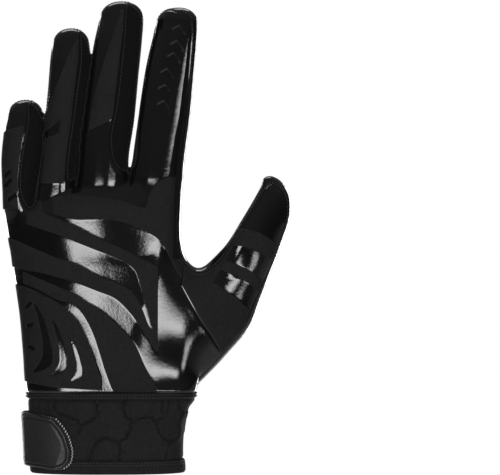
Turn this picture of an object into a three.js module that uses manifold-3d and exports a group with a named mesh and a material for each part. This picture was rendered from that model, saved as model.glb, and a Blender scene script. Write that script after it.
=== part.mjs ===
// A left football receiver glove, fingers up, as a hand fills it. The back of the hand faces -Y,
// the palm +Y and the thumb +X. The origin is the centre of the opening at the wrist.
//
// Every piece is first made in a flat hand, whose fingers, palm and thumb all lie on the plane
// y = 0, and is then bent on to the middle surface of a relaxed hand.

import * as THREE from "three";
import { mergeVertices } from "three/addons/utils/BufferGeometryUtils.js";
import Module from "manifold-3d";

const wasm = await Module();
wasm.setup();

// Driving dimensions, in millimetres.
const handLength = 198; // wrist seam to the tip of the middle finger
const handBreadth = 87.5; // little-finger edge to index edge at the knuckles
const handDepth = 38; // through the ball of the thumb
const fingerWidth = 26; // middle finger at its root
const fingerDepth = 20;
const thumbLength = 111.6; // root to tip
const thumbWidth = 26;
const thumbDepth = 24;
const thumbLean = 30.1; // degrees from the fingers' direction
const cuffHeight = 37;
const cuffBreadth = 82;
const cuffDepth = 44;
const cuffWall = 2.4;
const hemHeight = 6.5;
const hemProud = 0.9;
const weltHeight = 3.2;
const weltProud = 1.1;
const panelWall = 1.5;
const padThickness = 0.6;
const palmProud = 0.3; // the coated palm stands over the cloth panels
const tabThickness = 2.1;
const tabHeight = 29;
const tabReach = 25; // across the back, from the cuff's edge
const hookThickness = 0.8;
const hookPast = 1.2; // how far the hooks show past the tab's tip
const curlForward = 10; // the middle fingertip in front of the palm's plane
const edgeForward = 3; // the little-finger edge in front of it
const thumbForward = 12;
const gap = 0.3;

const wristSeam = cuffHeight + weltHeight + gap;
const reach = 2 * handLength; // past every surface

const FINGER_SIDES = 14;
const PALM_SIDES = 20;
const CUFF_SIDES = 24;
const CAP_RINGS = 3;
const FINGER_SQUARENESS = 2.3; // 2 is an ellipse
const PALM_SQUARENESS = 2.5;
const PALM_HOLLOW = 0.16; // of the palm's depth, at its middle

const colours = {
  cloth: 0x242426,
  film: 0x0d0d0f,
  palm: 0x101012,
  cuff: 0x1c1c1e,
  tab: 0x17171a,
  hook: 0x8a8a88,
};

const up = (share) => cuffHeight + share * handLength;
const across = (share) => share * handBreadth;
const tidyPower = (value, power) => Math.sign(value) * Math.abs(value) ** power;

// Turns the rows of a table into objects with the named columns.
function table(columns, ...rows) {
  return rows.map((row) => Object.fromEntries(columns.map((name, i) => [name, row[i]])));
}

// Finger sections from the root up. The centre is a share of handBreadth, the height of
// handLength, the width of fingerWidth and the depth of fingerDepth; the tip is a height.
const sectionColumns = ["up", "across", "width", "depth"];
const fingers = {
  pinky: {
    tip: 0.7525,
    seam: 0.08,
    rows: table(
      sectionColumns,
      [0.38, -0.463, 0.67, 0.94],
      [0.455, -0.497, 0.64, 0.92],
      [0.505, -0.514, 0.575, 0.88],
      [0.55, -0.509, 0.64, 0.86],
      [0.606, -0.501, 0.72, 0.83],
      [0.672, -0.485, 0.74, 0.8],
      [0.714, -0.476, 0.68, 0.74],
    ),
  },
  ring: {
    tip: 0.932,
    seam: 0.5,
    rows: table(
      sectionColumns,
      [0.39, -0.314, 1.04, 1.05],
      [0.49, -0.307, 0.88, 1.0],
      [0.55, -0.295, 0.74, 0.95],
      [0.621, -0.273, 0.71, 0.92],
      [0.747, -0.246, 0.715, 0.88],
      [0.848, -0.223, 0.757, 0.85],
      [0.894, -0.216, 0.7, 0.78],
    ),
  },
  middle: {
    tip: 1,
    seam: 0.22,
    rows: table(
      sectionColumns,
      [0.39, -0.051, 1.06, 1.08],
      [0.52, -0.029, 1.03, 1.05],
      [0.601, -0.02, 0.95, 1.02],
      [0.702, 0.003, 0.975, 0.98],
      [0.823, 0.033, 0.945, 0.95],
      [0.914, 0.058, 0.9, 0.9],
      [0.963, 0.075, 0.82, 0.78],
    ),
  },
  index: {
    tip: 0.982,
    seam: 0.74,
    rows: table(
      sectionColumns,
      [0.38, 0.251, 1.15, 1.1],
      [0.52, 0.269, 1.06, 1.07],
      [0.601, 0.289, 1.03, 1.04],
      [0.702, 0.319, 1.0, 1.0],
      [0.823, 0.351, 0.95, 0.95],
      [0.904, 0.379, 0.87, 0.88],
      [0.949, 0.393, 0.79, 0.78],
    ),
  },
};

// Palm sections from the wrist up: the two edges as shares of handBreadth, the depth of handDepth.
const palmRows = table(
  ["up", "left", "right", "depth"],
  [0.0, -0.455, 0.497, 1.1],
  [0.056, -0.469, 0.526, 1.06],
  [0.116, -0.478, 0.571, 1.01],
  [0.192, -0.494, 0.571, 0.95],
  [0.268, -0.519, 0.526, 0.89],
  [0.333, -0.544, 0.5, 0.84],
  [0.354, -0.55, 0.44, 0.82],
  [0.409, -0.567, 0.425, 0.78],
  [0.46, -0.549, 0.389, 0.71],
  [0.5, -0.411, 0.377, 0.55],
  [0.525, -0.36, 0.33, 0.25],
);

// Thumb sections along a straight line from its root: along it and beside it as shares of
// thumbLength, the width of thumbWidth and the depth of thumbDepth.
const thumbRoot = { across: 0.343, up: 0.0758 };
const thumbRows = table(
  ["along", "beside", "width", "depth"],
  [0.0, 0.0, 1.31, 1.5],
  [0.172, 0.03, 1.42, 1.46],
  [0.337, 0.063, 1.38, 1.29],
  [0.478, 0.054, 1.28, 1.125],
  [0.602, 0.065, 1.02, 1.0],
  [0.732, 0.057, 0.92, 0.9],
  [0.846, 0.048, 0.83, 0.81],
  [0.914, 0.032, 0.69, 0.69],
);

// Cuff sections: the two edges as shares of cuffBreadth, the depth of cuffDepth.
const cuffRows = table(
  ["up", "left", "right", "depth"],
  [0.0, -0.462, 0.463, 0.96],
  [0.3, -0.469, 0.458, 0.96],
  [0.55, -0.475, 0.463, 0.97],
  [0.85, -0.482, 0.49, 0.99],
  [1.0, -0.486, 0.528, 1.0],
);

// A closed mesh through rings of equal counts of points, with a fan over each end.
function loft(rings) {
  const count = rings[0].length;
  const points = rings.flat();
  const middle = (ring) =>
    ring.reduce((sum, p) => sum.add(p), new THREE.Vector3()).divideScalar(count);
  const bottom = points.length;
  points.push(middle(rings[0]), middle(rings[rings.length - 1]));
  const faces = [];
  for (let j = 0; j < count; j += 1) {
    const next = (j + 1) % count;
    for (let i = 0; i + 1 < rings.length; i += 1) {
      const low = i * count;
      const high = low + count;
      faces.push(low + j, low + next, high + next, low + j, high + next, high + j);
    }
    const last = (rings.length - 1) * count;
    faces.push(bottom, next, j, bottom + 1, last + j, last + next);
  }
  const geometry = new THREE.BufferGeometry().setFromPoints(points);
  return geometry.setIndex(faces);
}

// One ring of a limb: a squared ellipse about a centre, across a leaning direction.
function ringAt({ x, z, width, depth }, lean, sides, squareness) {
  const power = 2 / squareness;
  return Array.from({ length: sides }, (_, i) => {
    const angle = (2 * Math.PI * i) / sides;
    const aside = (tidyPower(Math.cos(angle), power) * width) / 2;
    const y = (tidyPower(Math.sin(angle), power) * depth) / 2;
    return new THREE.Vector3(x + aside * Math.cos(lean), y, z - aside * Math.sin(lean));
  });
}

// A limb inset from its outer surface, with a rounded end at its tip.
function limb(sections, tip, lean, inset) {
  const inner = sections.map((s) => ({
    ...s,
    width: s.width - 2 * inset,
    depth: s.depth - 2 * inset,
  }));
  const last = inner[inner.length - 1];
  const toTip = new THREE.Vector2(tip.x - last.x, tip.z - last.z);
  toTip.setLength(toTip.length() - inset);
  const cap = Array.from({ length: CAP_RINGS }, (_, i) => {
    const angle = (Math.PI / 2) * ((i + 1) / (CAP_RINGS + 0.35));
    const size = Math.cos(angle);
    return {
      x: last.x + toTip.x * Math.sin(angle),
      z: last.z + toTip.y * Math.sin(angle),
      width: last.width * size,
      depth: last.depth * size,
    };
  });
  const rings = [...inner, ...cap];
  return solid(loft(rings.map((s) => ringAt(s, lean, FINGER_SIDES, FINGER_SQUARENESS))));
}

function fingerSections(finger) {
  return finger.rows.map((row) => ({
    x: across(row.across),
    z: up(row.up),
    width: row.width * fingerWidth,
    depth: row.depth * fingerDepth,
  }));
}

function fingerLimb(finger, inset) {
  const sections = fingerSections(finger);
  const last = sections[sections.length - 1];
  return limb(sections, { x: last.x + 0.7 * gap, z: up(finger.tip) }, 0, inset);
}

const leanAngle = THREE.MathUtils.degToRad(thumbLean);

// The place on the thumb's back at shares of its length along it and beside it.
function thumbPoint(along, beside) {
  const far = along * thumbLength;
  const out = beside * thumbLength;
  return {
    x: across(thumbRoot.across) + far * Math.sin(leanAngle) + out * Math.cos(leanAngle),
    z: up(thumbRoot.up) + far * Math.cos(leanAngle) - out * Math.sin(leanAngle),
  };
}

function thumbLimb(inset) {
  const sections = thumbRows.map((row) => ({
    ...thumbPoint(row.along, row.beside),
    width: row.width * thumbWidth,
    depth: row.depth * thumbDepth,
  }));
  return limb(sections, thumbPoint(1, 0), leanAngle, inset);
}

// The palm's loft. Its palm side is hollowed a little along the middle of the hand.
function palmLimb(inset, bottom) {
  const rings = palmRows.map((row, i) => {
    const left = across(row.left) + inset;
    const right = across(row.right) - inset;
    const section = {
      x: (left + right) / 2,
      z: i === 0 ? bottom : up(row.up),
      width: right - left,
      depth: row.depth * handDepth - 2 * inset,
    };
    const ring = ringAt(section, 0, PALM_SIDES, PALM_SQUARENESS);
    const strength = PALM_HOLLOW * Math.sin(Math.PI * Math.min(1, row.up / palmRows.at(-1).up));
    ring.forEach((p) => {
      const from = (2 * (p.x - section.x)) / section.width;
      if (p.y > 0) p.y -= strength * section.depth * Math.max(0, 1 - (2 * from) ** 2);
    });
    return ring;
  });
  return solid(loft(rings));
}

// A closed mesh as a solid that can be joined and cut.
function solid(geometry) {
  const bare = geometry.clone();
  bare.deleteAttribute("normal");
  bare.deleteAttribute("uv");
  const merged = mergeVertices(bare, 1e-4);
  return new wasm.Manifold(
    new wasm.Mesh({
      numProp: 3,
      vertProperties: merged.attributes.position.array,
      triVerts: new Uint32Array(merged.index.array),
    }),
  );
}

const joined = (solids) => solids.reduce((sum, s) => sum.add(s));

// The outer surface of the whole hand part, inset, as one solid.
function handSolid(inset, bottom) {
  const parts = Object.values(fingers).map((finger) => fingerLimb(finger, inset));
  return joined([palmLimb(inset, bottom), thumbLimb(inset), ...parts]);
}

// A prism through the hand over an outline seen from the back, from one depth to another.
function prism(outline, from = -reach, to = reach) {
  const shape = new THREE.Shape(outline.map((p) => new THREE.Vector2(p.x, p.z)));
  const geometry = new THREE.ExtrudeGeometry(shape, { depth: to - from, bevelEnabled: false });
  geometry.rotateX(Math.PI / 2);
  geometry.translate(0, to, 0);
  return solid(geometry);
}

// A block that holds all between two heights and two depths.
function slab(low, high, from, to) {
  const block = new THREE.BoxGeometry(2 * reach, to - from, high - low);
  block.translate(0, (from + to) / 2, (low + high) / 2);
  return solid(block);
}

// A band whose rows give an upper and a lower edge at places across the hand.
function bandOutline(rows) {
  const high = rows.map((row) => ({ x: across(row.across), z: up(row.high) }));
  const low = rows.map((row) => ({ x: across(row.across), z: up(row.low) }));
  return [...high, ...low.reverse()];
}

// The section of a finger at a height, between its rows.
function fingerAt(finger, z) {
  const sections = fingerSections(finger);
  const above = sections.findIndex((s) => s.z > z);
  if (above === -1) return sections[sections.length - 1];
  if (above === 0) return sections[0];
  const [low, high] = [sections[above - 1], sections[above]];
  const share = (z - low.z) / (high.z - low.z);
  const mix = (key) => low[key] + share * (high[key] - low[key]);
  return { x: mix("x"), z, width: mix("width"), depth: mix("depth") };
}

// A point on a finger at a height and at a share of its half width from its centre.
function onFinger(finger, z, share, shift = 0) {
  const section = fingerAt(finger, z);
  return { x: section.x + (share * section.width) / 2 + shift, z };
}

// A patch on one finger whose rows give its left and right edges at heights.
function fingerOutline(finger, rows) {
  const left = rows.map((row) => onFinger(finger, up(row.up), row.left));
  const right = rows.map((row) => onFinger(finger, up(row.up), row.right));
  return [...left, ...right.reverse()];
}

// Surfaces: the bands' outside, their underside, the cloth's, the coated palm's and the inside.
const outer = handSolid(-gap - padThickness, wristSeam);
const underPads = handSolid(-gap, wristSeam - weltHeight);
const cloth = handSolid(0, wristSeam);
const coated = handSolid(-palmProud, wristSeam);
const inside = handSolid(panelWall, wristSeam - weltHeight);

const clothShell = cloth.subtract(inside);
const palmShell = coated.subtract(inside);
const padShell = outer.subtract(underPads);

// Half of the strip between back and palm where a fourchette is sewn in, and its ends.
const stripHalf = 0.2 * fingerDepth;
const stripEnd = 0.25 * fingerWidth;
const stripRoot = 0.14 * fingerWidth; // how far a fourchette reaches below its crotch
const strips = table(
  ["name", "left", "right"],
  ["fourchette_pinky_ring", "pinky", "ring"],
  ["fourchette_ring_middle", "ring", "middle"],
  ["fourchette_middle_index", "middle", "index"],
);

// The height where two neighbouring fingers part.
function crotchHeight(a, b) {
  const apart = (z) => onFinger(b, z, -1).x - onFinger(a, z, 1).x;
  const heights = steps(fingerSections(b)[0].z, up(a.tip) - stripEnd, 60);
  return heights.find((z) => apart(z) > 0);
}

// Heights from a low one to a high one, in even steps.
function steps(low, high, count) {
  return Array.from({ length: count + 1 }, (_, i) => low + ((high - low) * i) / count);
}

// The space of one fourchette, grown on the sides where it meets the panels.
function stripSpace({ left, right }, grow) {
  const [a, b] = [fingers[left], fingers[right]];
  const crotch = crotchHeight(a, b);
  const bottom = crotch - stripRoot - grow;
  const topA = up(a.tip) - stripEnd + grow;
  const topB = up(b.tip) - stripEnd + grow;
  const between = (z) => {
    const edgeA = onFinger(a, z, 1);
    const edgeB = onFinger(b, z, -1);
    return { x: (edgeA.x + edgeB.x) / 2, z };
  };
  const seam = steps(bottom, topA, 8).map((z) => onFinger(a, z, a.seam, -grow));
  const gapLine = steps(crotch + 0.3 * fingerWidth, topA, 8).map(between);
  const turn = [
    onFinger(b, crotch + 0.2 * fingerWidth, -0.8, grow),
    onFinger(b, bottom, -0.75, grow),
  ];
  const leftSide = prism([...seam, ...gapLine.reverse(), ...turn], -reach, stripHalf + grow);
  const axis = steps(bottom, topB, 8).map((z) => onFinger(b, z, -0.05, grow));
  const outside = steps(bottom, topB, 8).map((z) =>
    z < crotch + 0.3 * fingerWidth || z > topA ? onFinger(b, z, -1.3) : between(z),
  );
  const rightSide = prism([...outside, ...axis.reverse()], -stripHalf - grow, stripHalf + grow);
  return leftSide.add(rightSide);
}

// The strip on the thumb side of the index finger, down to the web.
function indexSideSpace(grow) {
  const finger = fingers.index;
  const top = up(finger.tip) - stripEnd + grow;
  const bottom = up(0.35) - grow;
  const seam = steps(bottom, top, 8).map((z) => onFinger(finger, z, finger.seam, -grow));
  const open = steps(bottom, top, 8).map((z) => onFinger(finger, z, 1.3));
  return prism([...seam, ...open.reverse()], -reach, stripHalf + grow);
}

// The seam between the back and the thumb's panel, from the web down to the wrist's edge.
const thumbSeam = table(
  ["across", "up"],
  [0.6, 0.345],
  [0.44, 0.345],
  [0.423, 0.284],
  [0.469, 0.246],
  [0.537, 0.193],
  [0.583, 0.165],
  [0.657, 0.107],
  [1.6, 0.107],
  [1.6, 0.7],
  [0.6, 0.7],
);

function thumbSpace(grow) {
  const outline = thumbSeam.map((row, i) => ({
    x: across(row.across) - (i > 0 && i < 7 ? grow : 0),
    z: up(row.up) + (i < 2 ? grow : 0) - (i > 1 && i < 8 ? grow : 0),
  }));
  return prism(outline, -reach, -gap / 2 + grow);
}

const stripSpaces = (grow) => [...strips.map((s) => stripSpace(s, grow)), indexSideSpace(grow)];

const backHalf = slab(0, reach, -reach, -gap / 2);
const palmHalf = slab(0, reach, gap / 2, reach);

// The middle surface of a relaxed hand: fingers, little-finger edge and thumb come forward.
function forward(x, z) {
  const curl = Math.max(0, (z - up(0.42)) / (up(1) - up(0.42)));
  const edge = Math.max(0, -x / across(0.5));
  const thumb = Math.max(0, (x - across(0.3)) / (across(1) - across(0.3)));
  const fade = Math.min(1, Math.max(0, (z - cuffHeight) / (up(0.3) - cuffHeight)));
  const fingerShare = 1 - Math.min(1, thumb * 3);
  return (
    curlForward * curl ** 2 * fingerShare +
    edgeForward * edge ** 2 * fade +
    thumbForward * thumb ** 2 * fade
  );
}

const glove = new THREE.Group();

// Names a solid, bends it on to the relaxed hand and adds it to the glove.
function addPiece(name, body, colour, roughness) {
  const largest = body.decompose().sort((a, b) => b.volume() - a.volume())[0];
  const { vertProperties, triVerts } = largest.getMesh();
  const position = new THREE.BufferAttribute(new Float32Array(vertProperties), 3);
  for (let i = 0; i < position.count; i += 1) {
    const shift = forward(position.getX(i), position.getZ(i));
    position.setY(i, position.getY(i) + shift);
  }
  const geometry = new THREE.BufferGeometry().setAttribute("position", position);
  geometry.setIndex(new THREE.BufferAttribute(new Uint32Array(triVerts), 1));
  geometry.computeVertexNormals();
  const material = new THREE.MeshStandardMaterial({ color: colour, roughness, metalness: 0 });
  const mesh = new THREE.Mesh(geometry, material);
  mesh.name = name;
  glove.add(mesh);
}

// The sewn panels.
function addPanels() {
  const grown = joined(stripSpaces(gap));
  const back = clothShell.intersect(backHalf).subtract(grown).subtract(thumbSpace(gap));
  addPiece("back_panel", back, colours.film, 0.25);
  addPiece("palm_panel", palmShell.intersect(palmHalf).subtract(grown), colours.palm, 0.2);
  const thumb = clothShell.intersect(thumbSpace(0)).subtract(indexSideSpace(gap));
  addPiece("thumb_back", thumb, colours.cloth, 0.8);
  strips.forEach((strip) => {
    addPiece(strip.name, clothShell.intersect(stripSpace(strip, 0)), colours.cloth, 0.8);
  });
  addPiece("index_side", clothShell.intersect(indexSideSpace(0)), colours.cloth, 0.8);
}

// Raised bands on the back, each between an upper and a lower edge.
const bandColumns = ["across", "high", "low"];
const knuckleRows = table(
  bandColumns,
  [-0.309, 0.506, 0.463],
  [-0.16, 0.51, 0.448],
  [-0.017, 0.505, 0.4495],
  [0.097, 0.495, 0.441],
  [0.217, 0.4785, 0.419],
  [0.246, 0.519, 0.413],
  [0.286, 0.539, 0.4015],
  [0.326, 0.552, 0.38],
  [0.366, 0.5555, 0.342],
  [0.411, 0.554, 0.307],
  [0.434, 0.55, 0.292],
);
const upperBandRows = table(
  bandColumns,
  [-0.457, 0.486, 0.437],
  [-0.377, 0.4975, 0.4255],
  [-0.363, 0.468, 0.4235],
  [-0.274, 0.451, 0.41],
  [-0.16, 0.4305, 0.39],
  [-0.046, 0.403, 0.37],
  [0.069, 0.38, 0.35],
  [0.166, 0.3585, 0.3195],
  [0.189, 0.3535, 0.289],
  [0.229, 0.345, 0.226],
  [0.263, 0.337, 0.1705],
  [0.291, 0.331, 0.115],
);
const lowerBandRows = table(
  bandColumns,
  [-0.7, 0.42, 0.35],
  [-0.56, 0.403, 0.332],
  [-0.389, 0.3725, 0.317],
  [-0.274, 0.352, 0.304],
  [-0.189, 0.342, 0.293],
  [-0.046, 0.309, 0.269],
  [0.04, 0.294, 0.254],
  [0.137, 0.2715, 0.2145],
  [0.2, 0.2285, 0.174],
  [0.246, 0.1805, 0.1425],
  [0.263, 0.1755, 0.13],
  [0.291, 0.1705, 0.115],
);
const handPadRows = table(
  bandColumns,
  [-0.48, 0.3195, 0.29],
  [-0.389, 0.302, 0.274],
  [-0.263, 0.279, 0.246],
  [-0.206, 0.2675, 0.24],
  [-0.149, 0.255, 0.221],
  [-0.103, 0.242, 0.1905],
  [-0.069, 0.2335, 0.158],
  [-0.04, 0.226, 0.12],
  [0, 0.212, 0.0645],
  [0.051, 0.1905, 0.018],
  [0.126, 0.158, 0.018],
  [0.16, 0.14, 0.018],
  [0.223, 0.0795, 0.018],
  [0.286, 0.0315, 0.018],
);
const sidePadRows = table(
  bandColumns,
  [-0.7, 0.3, 0.05],
  [-0.457, 0.279, 0.043],
  [-0.36, 0.259, 0.035],
  [-0.274, 0.241, 0.029],
  [-0.229, 0.226, 0.028],
  [-0.16, 0.1955, 0.0265],
  [-0.114, 0.158, 0.025],
  [-0.08, 0.12, 0.0245],
  [-0.051, 0.082, 0.024],
  [-0.029, 0.057, 0.024],
);

// Crescent windows in the side pad. A row of the crescent gives its place down the window and
// its two edges, all as shares of the window's height.
const windows = table(
  ["across", "top", "height"],
  [-0.417, 0.2385, 0.172],
  [-0.309, 0.196, 0.136],
  [-0.2, 0.145, 0.0985],
);
const crescent = table(
  ["down", "left", "right"],
  [0, 0, 0.03],
  [0.13, 0.05, 0.11],
  [0.32, 0.1, 0.19],
  [0.54, 0.145, 0.25],
  [0.72, 0.15, 0.29],
  [0.87, 0.1, 0.28],
  [0.95, 0.03, 0.18],
  [1, 0, 0.05],
);

// Patches on the fingers' backs: heights, and edges as shares of the finger's half width.
const patchColumns = ["up", "left", "right"];
const pinkyRows = table(
  patchColumns,
  [0.687, -0.08, 0.03],
  [0.664, -1.2, 0.03],
  [0.6, -1.2, 0.03],
  [0.53, -1.2, 0.03],
  [0.475, -1.2, 0],
);
const ringRows = table(
  patchColumns,
  [0.9065, 0.4, 0.46],
  [0.8725, 0.02, 0.46],
  [0.822, -0.3, 0.46],
  [0.7765, -0.58, 0.46],
  [0.739, -0.8, 0.46],
  [0.7, -0.9, 0.46],
  [0.64, -0.87, 0.46],
  [0.54, -0.75, 0.46],
);
const middleRows = table(
  patchColumns,
  [0.98, -0.04, 0.14],
  [0.953, -0.12, 0.18],
  [0.89, -0.3, 0.18],
  [0.847, -0.44, 0.18],
  [0.802, -0.56, 0.18],
  [0.756, -0.67, 0.18],
  [0.708, -0.72, 0.18],
  [0.673, -0.72, -0.66],
);
const ringSlash = table(
  ["across", "up"],
  [-0.4, 0.645],
  [-0.274, 0.668],
  [-0.269, 0.7],
  [-0.4, 0.655],
);

// Chevrons on the index finger: the height of the point and its share of the half width.
const chevrons = table(
  ["up", "point"],
  [0.941, 0.125],
  [0.9025, 0.115],
  [0.872, 0.07],
  [0.832, -0.11],
  [0.7915, -0.1],
  [0.751, -0.08],
);
const chevronLine = 1.2; // the width of a chevron's line
const chevronLeft = { reach: 3.6, drop: 1.9 };
const chevronRight = { reach: 3.4, drop: 4.8 };

// The thumb's pad and its two notches: beside and along the thumb, as its sections are.
const thumbColumns = ["beside", "high", "low"];
const thumbPadRows = table(
  thumbColumns,
  [-0.6, 0.9, -0.4],
  [-0.1, 0.69, -0.4],
  [-0.025, 0.703, -0.4],
  [0.009, 0.7175, -0.4],
  [0.064, 0.7285, -0.4],
  [0.106, 0.727, -0.4],
  [0.153, 0.718, -0.4],
  [0.35, 0.68, -0.4],
);
const thumbNotches = [
  table(
    thumbColumns,
    [-0.02, 0.621, 0.543],
    [0.05, 0.648, 0.557],
    [0.107, 0.655, 0.561],
    [0.17, 0.645, 0.545],
    [0.35, 0.59, 0.49],
  ),
  table(
    thumbColumns,
    [-0.018, 0.499, 0.4325],
    [0.083, 0.507, 0.4287],
    [0.13, 0.508, 0.42],
    [0.2, 0.487, 0.404],
    [0.35, 0.43, 0.36],
  ),
];

function thumbOutline(rows) {
  const high = rows.map((row) => thumbPoint(row.high, row.beside));
  const low = rows.map((row) => thumbPoint(row.low, row.beside));
  return [...high, ...low.reverse()];
}

function windowOutline({ across: place, top, height }) {
  const size = height * handLength;
  const edge = (key) =>
    crescent.map((row) => ({
      x: across(place) + row[key] * size,
      z: up(top) - row.down * size,
    }));
  return [...edge("left"), ...edge("right").reverse()];
}

function chevronOutline({ up: height, point }) {
  const tip = onFinger(fingers.index, up(height), point);
  const left = { x: tip.x - chevronLeft.reach, z: tip.z - chevronLeft.drop };
  const right = { x: tip.x + chevronRight.reach, z: tip.z - chevronRight.drop };
  const below = (p) => ({ x: p.x, z: p.z - chevronLine });
  return [tip, left, below(left), below(tip), below(right), right];
}

// The relief, which lies just over the cloth and stays clear of the seams.
function addPads() {
  const seams = joined([...stripSpaces(gap), thumbSpace(gap)]);
  const backPads = padShell.intersect(backHalf);
  const handPads = backPads.subtract(seams);
  const pad = (name, outline, cuts = []) => {
    const body = cuts.reduce((rest, cut) => rest.subtract(cut), handPads.intersect(prism(outline)));
    addPiece(name, body, colours.cloth, 0.85);
  };
  pad("knuckle_band", bandOutline(knuckleRows));
  const lower = prism(bandOutline(lowerBandRows));
  const doubleBand = prism(bandOutline(upperBandRows)).add(lower);
  addPiece("double_band", handPads.intersect(doubleBand), colours.cloth, 0.85);
  pad("hand_pad", bandOutline(handPadRows));
  pad(
    "side_pad",
    bandOutline(sidePadRows),
    windows.map((row) => prism(windowOutline(row))),
  );
  pad("pinky_pad", fingerOutline(fingers.pinky, pinkyRows));
  const slash = prism(ringSlash.map((row) => ({ x: across(row.across), z: up(row.up) })));
  pad("ring_pad", fingerOutline(fingers.ring, ringRows), [slash]);
  pad("middle_pad", fingerOutline(fingers.middle, middleRows));
  chevrons.forEach((row, i) => pad(`chevron_${i + 1}`, chevronOutline(row)));
  const notches = joined(thumbNotches.map((rows) => prism(thumbOutline(rows))));
  const thumbPad = backPads
    .intersect(thumbSpace(0))
    .subtract(indexSideSpace(gap))
    .intersect(prism(thumbOutline(thumbPadRows)))
    .subtract(notches);
  addPiece("thumb_pad", thumbPad, colours.cloth, 0.85);
}

// The cuff's form between two heights, inset, through the rows that lie between them.
function cuffSolid(inset, low, high) {
  const sectionAt = (z) => {
    const share = z / cuffHeight;
    const found = cuffRows.findIndex((row) => row.up >= share);
    const above = found === -1 ? cuffRows.length - 1 : Math.max(1, found);
    const [a, b] = [cuffRows[above - 1], cuffRows[above]];
    const mix = (key) => a[key] + ((share - a.up) / (b.up - a.up)) * (b[key] - a[key]);
    return {
      x: ((mix("left") + mix("right")) / 2) * cuffBreadth,
      z,
      width: (mix("right") - mix("left")) * cuffBreadth - 2 * inset,
      depth: mix("depth") * cuffDepth - 2 * inset,
    };
  };
  const inner = cuffRows.map((row) => row.up * cuffHeight).filter((z) => z > low && z < high);
  const rings = [low, ...inner, high].map((z) =>
    ringAt(sectionAt(z), 0, CUFF_SIDES, PALM_SQUARENESS),
  );
  return solid(loft(rings));
}

// A ring of the cuff, open at both ends. The hole runs past them.
function cuffTube(outside, inner, low, high) {
  return cuffSolid(outside, low, high).subtract(cuffSolid(inner, low - gap, high + gap));
}

// The tab's outline: along it from the cuff's edge as shares of tabReach, its upper and lower
// edges as shares of tabHeight above its foot.
const tabRows = table(
  ["along", "high", "low"],
  [-1, 0.99, 0.07],
  [0.04, 0.98, 0.06],
  [0.42, 0.93, 0.03],
  [0.68, 0.88, 0],
  [0.82, 0.74, 0.01],
  [0.92, 0.59, 0.07],
  [0.98, 0.42, 0.15],
  [1, 0.34, 0.27],
);

function tabOutline(past) {
  const edge = -0.512 * cuffBreadth;
  const foot = 0.35 * hemHeight;
  const at = (row, key) => ({
    x: edge + row.along * tabReach + (row.along > 0.5 ? past : 0),
    z: foot + row[key] * tabHeight,
  });
  return [...tabRows.map((r) => at(r, "high")), ...tabRows.map((r) => at(r, "low")).reverse()];
}

// The cuff, its hem and welt, and the fastened tab over the little-finger side.
function addWrist() {
  const bandLow = hemHeight + gap;
  const bandHigh = cuffHeight - gap;
  addPiece("cuff_band", cuffTube(0, cuffWall, bandLow, bandHigh), colours.cuff, 0.7);
  addPiece("cuff_hem", cuffTube(-hemProud, cuffWall, 0, hemHeight), colours.cuff, 0.75);
  const welt = cuffTube(-weltProud, cuffWall, cuffHeight, cuffHeight + weltHeight);
  addPiece("wrist_welt", welt, colours.cloth, 0.8);
  const side = slab(0, cuffHeight, -reach, 0.1 * cuffDepth);
  const layer = (from, thickness) => {
    const low = 0.5 * gap;
    const high = cuffHeight - gap;
    const outside = cuffSolid(-from - thickness, low, high);
    return outside.subtract(cuffSolid(-from, low - gap, high + gap)).intersect(side);
  };
  const hookFrom = hemProud + gap;
  const hooks = layer(hookFrom, hookThickness).intersect(prism(tabOutline(hookPast)));
  addPiece("hook_pad", hooks, colours.hook, 0.6);
  const tab = layer(hookFrom + hookThickness + gap, tabThickness);
  addPiece("strap_tab", tab.intersect(prism(tabOutline(0))), colours.tab, 0.45);
}

addPanels();
addPads();
addWrist();

export default glove;
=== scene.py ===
"""A left football receiver glove, fingers up, as a hand fills it.

The back of the hand faces -Y, the palm +Y and the thumb +X. Lengths in this file are millimetres
until a mesh is made. The hand's surface is modelled flat, cut along its seams and bands, and then
bent on to the middle surface of a relaxed hand, as the solids are.
"""

from __future__ import annotations

import logging
import math
from dataclasses import dataclass, field
from enum import Enum
from typing import Iterable

import bpy
import numpy as np
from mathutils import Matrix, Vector, noise
from mathutils.kdtree import KDTree

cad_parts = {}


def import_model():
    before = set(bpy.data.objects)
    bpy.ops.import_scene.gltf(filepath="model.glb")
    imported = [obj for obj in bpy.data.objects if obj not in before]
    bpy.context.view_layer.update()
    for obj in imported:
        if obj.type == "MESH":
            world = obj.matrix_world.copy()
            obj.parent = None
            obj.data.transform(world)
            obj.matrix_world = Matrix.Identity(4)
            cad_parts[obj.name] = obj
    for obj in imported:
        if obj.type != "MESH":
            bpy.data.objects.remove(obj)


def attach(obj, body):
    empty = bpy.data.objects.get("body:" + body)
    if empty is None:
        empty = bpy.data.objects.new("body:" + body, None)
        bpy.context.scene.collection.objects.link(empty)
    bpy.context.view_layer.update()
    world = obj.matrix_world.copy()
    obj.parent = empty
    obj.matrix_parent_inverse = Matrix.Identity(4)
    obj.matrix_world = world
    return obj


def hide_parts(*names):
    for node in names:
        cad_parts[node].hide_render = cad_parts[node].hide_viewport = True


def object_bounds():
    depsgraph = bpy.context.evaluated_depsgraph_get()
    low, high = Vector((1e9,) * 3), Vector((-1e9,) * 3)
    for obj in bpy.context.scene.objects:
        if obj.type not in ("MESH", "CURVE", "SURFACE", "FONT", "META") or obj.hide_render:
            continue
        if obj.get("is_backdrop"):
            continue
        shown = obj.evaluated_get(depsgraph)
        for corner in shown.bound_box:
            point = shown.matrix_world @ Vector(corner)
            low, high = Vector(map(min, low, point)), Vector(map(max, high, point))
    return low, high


LOG = logging.getLogger("glove")

MM = 0.001
BODY = "root"
Columns = dict[str, np.ndarray]
TINY = 1e-9
TINY_AREA = 1e-12
ON_LEVEL = 1e-7  # how near a level a value counts as lying on it


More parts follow.
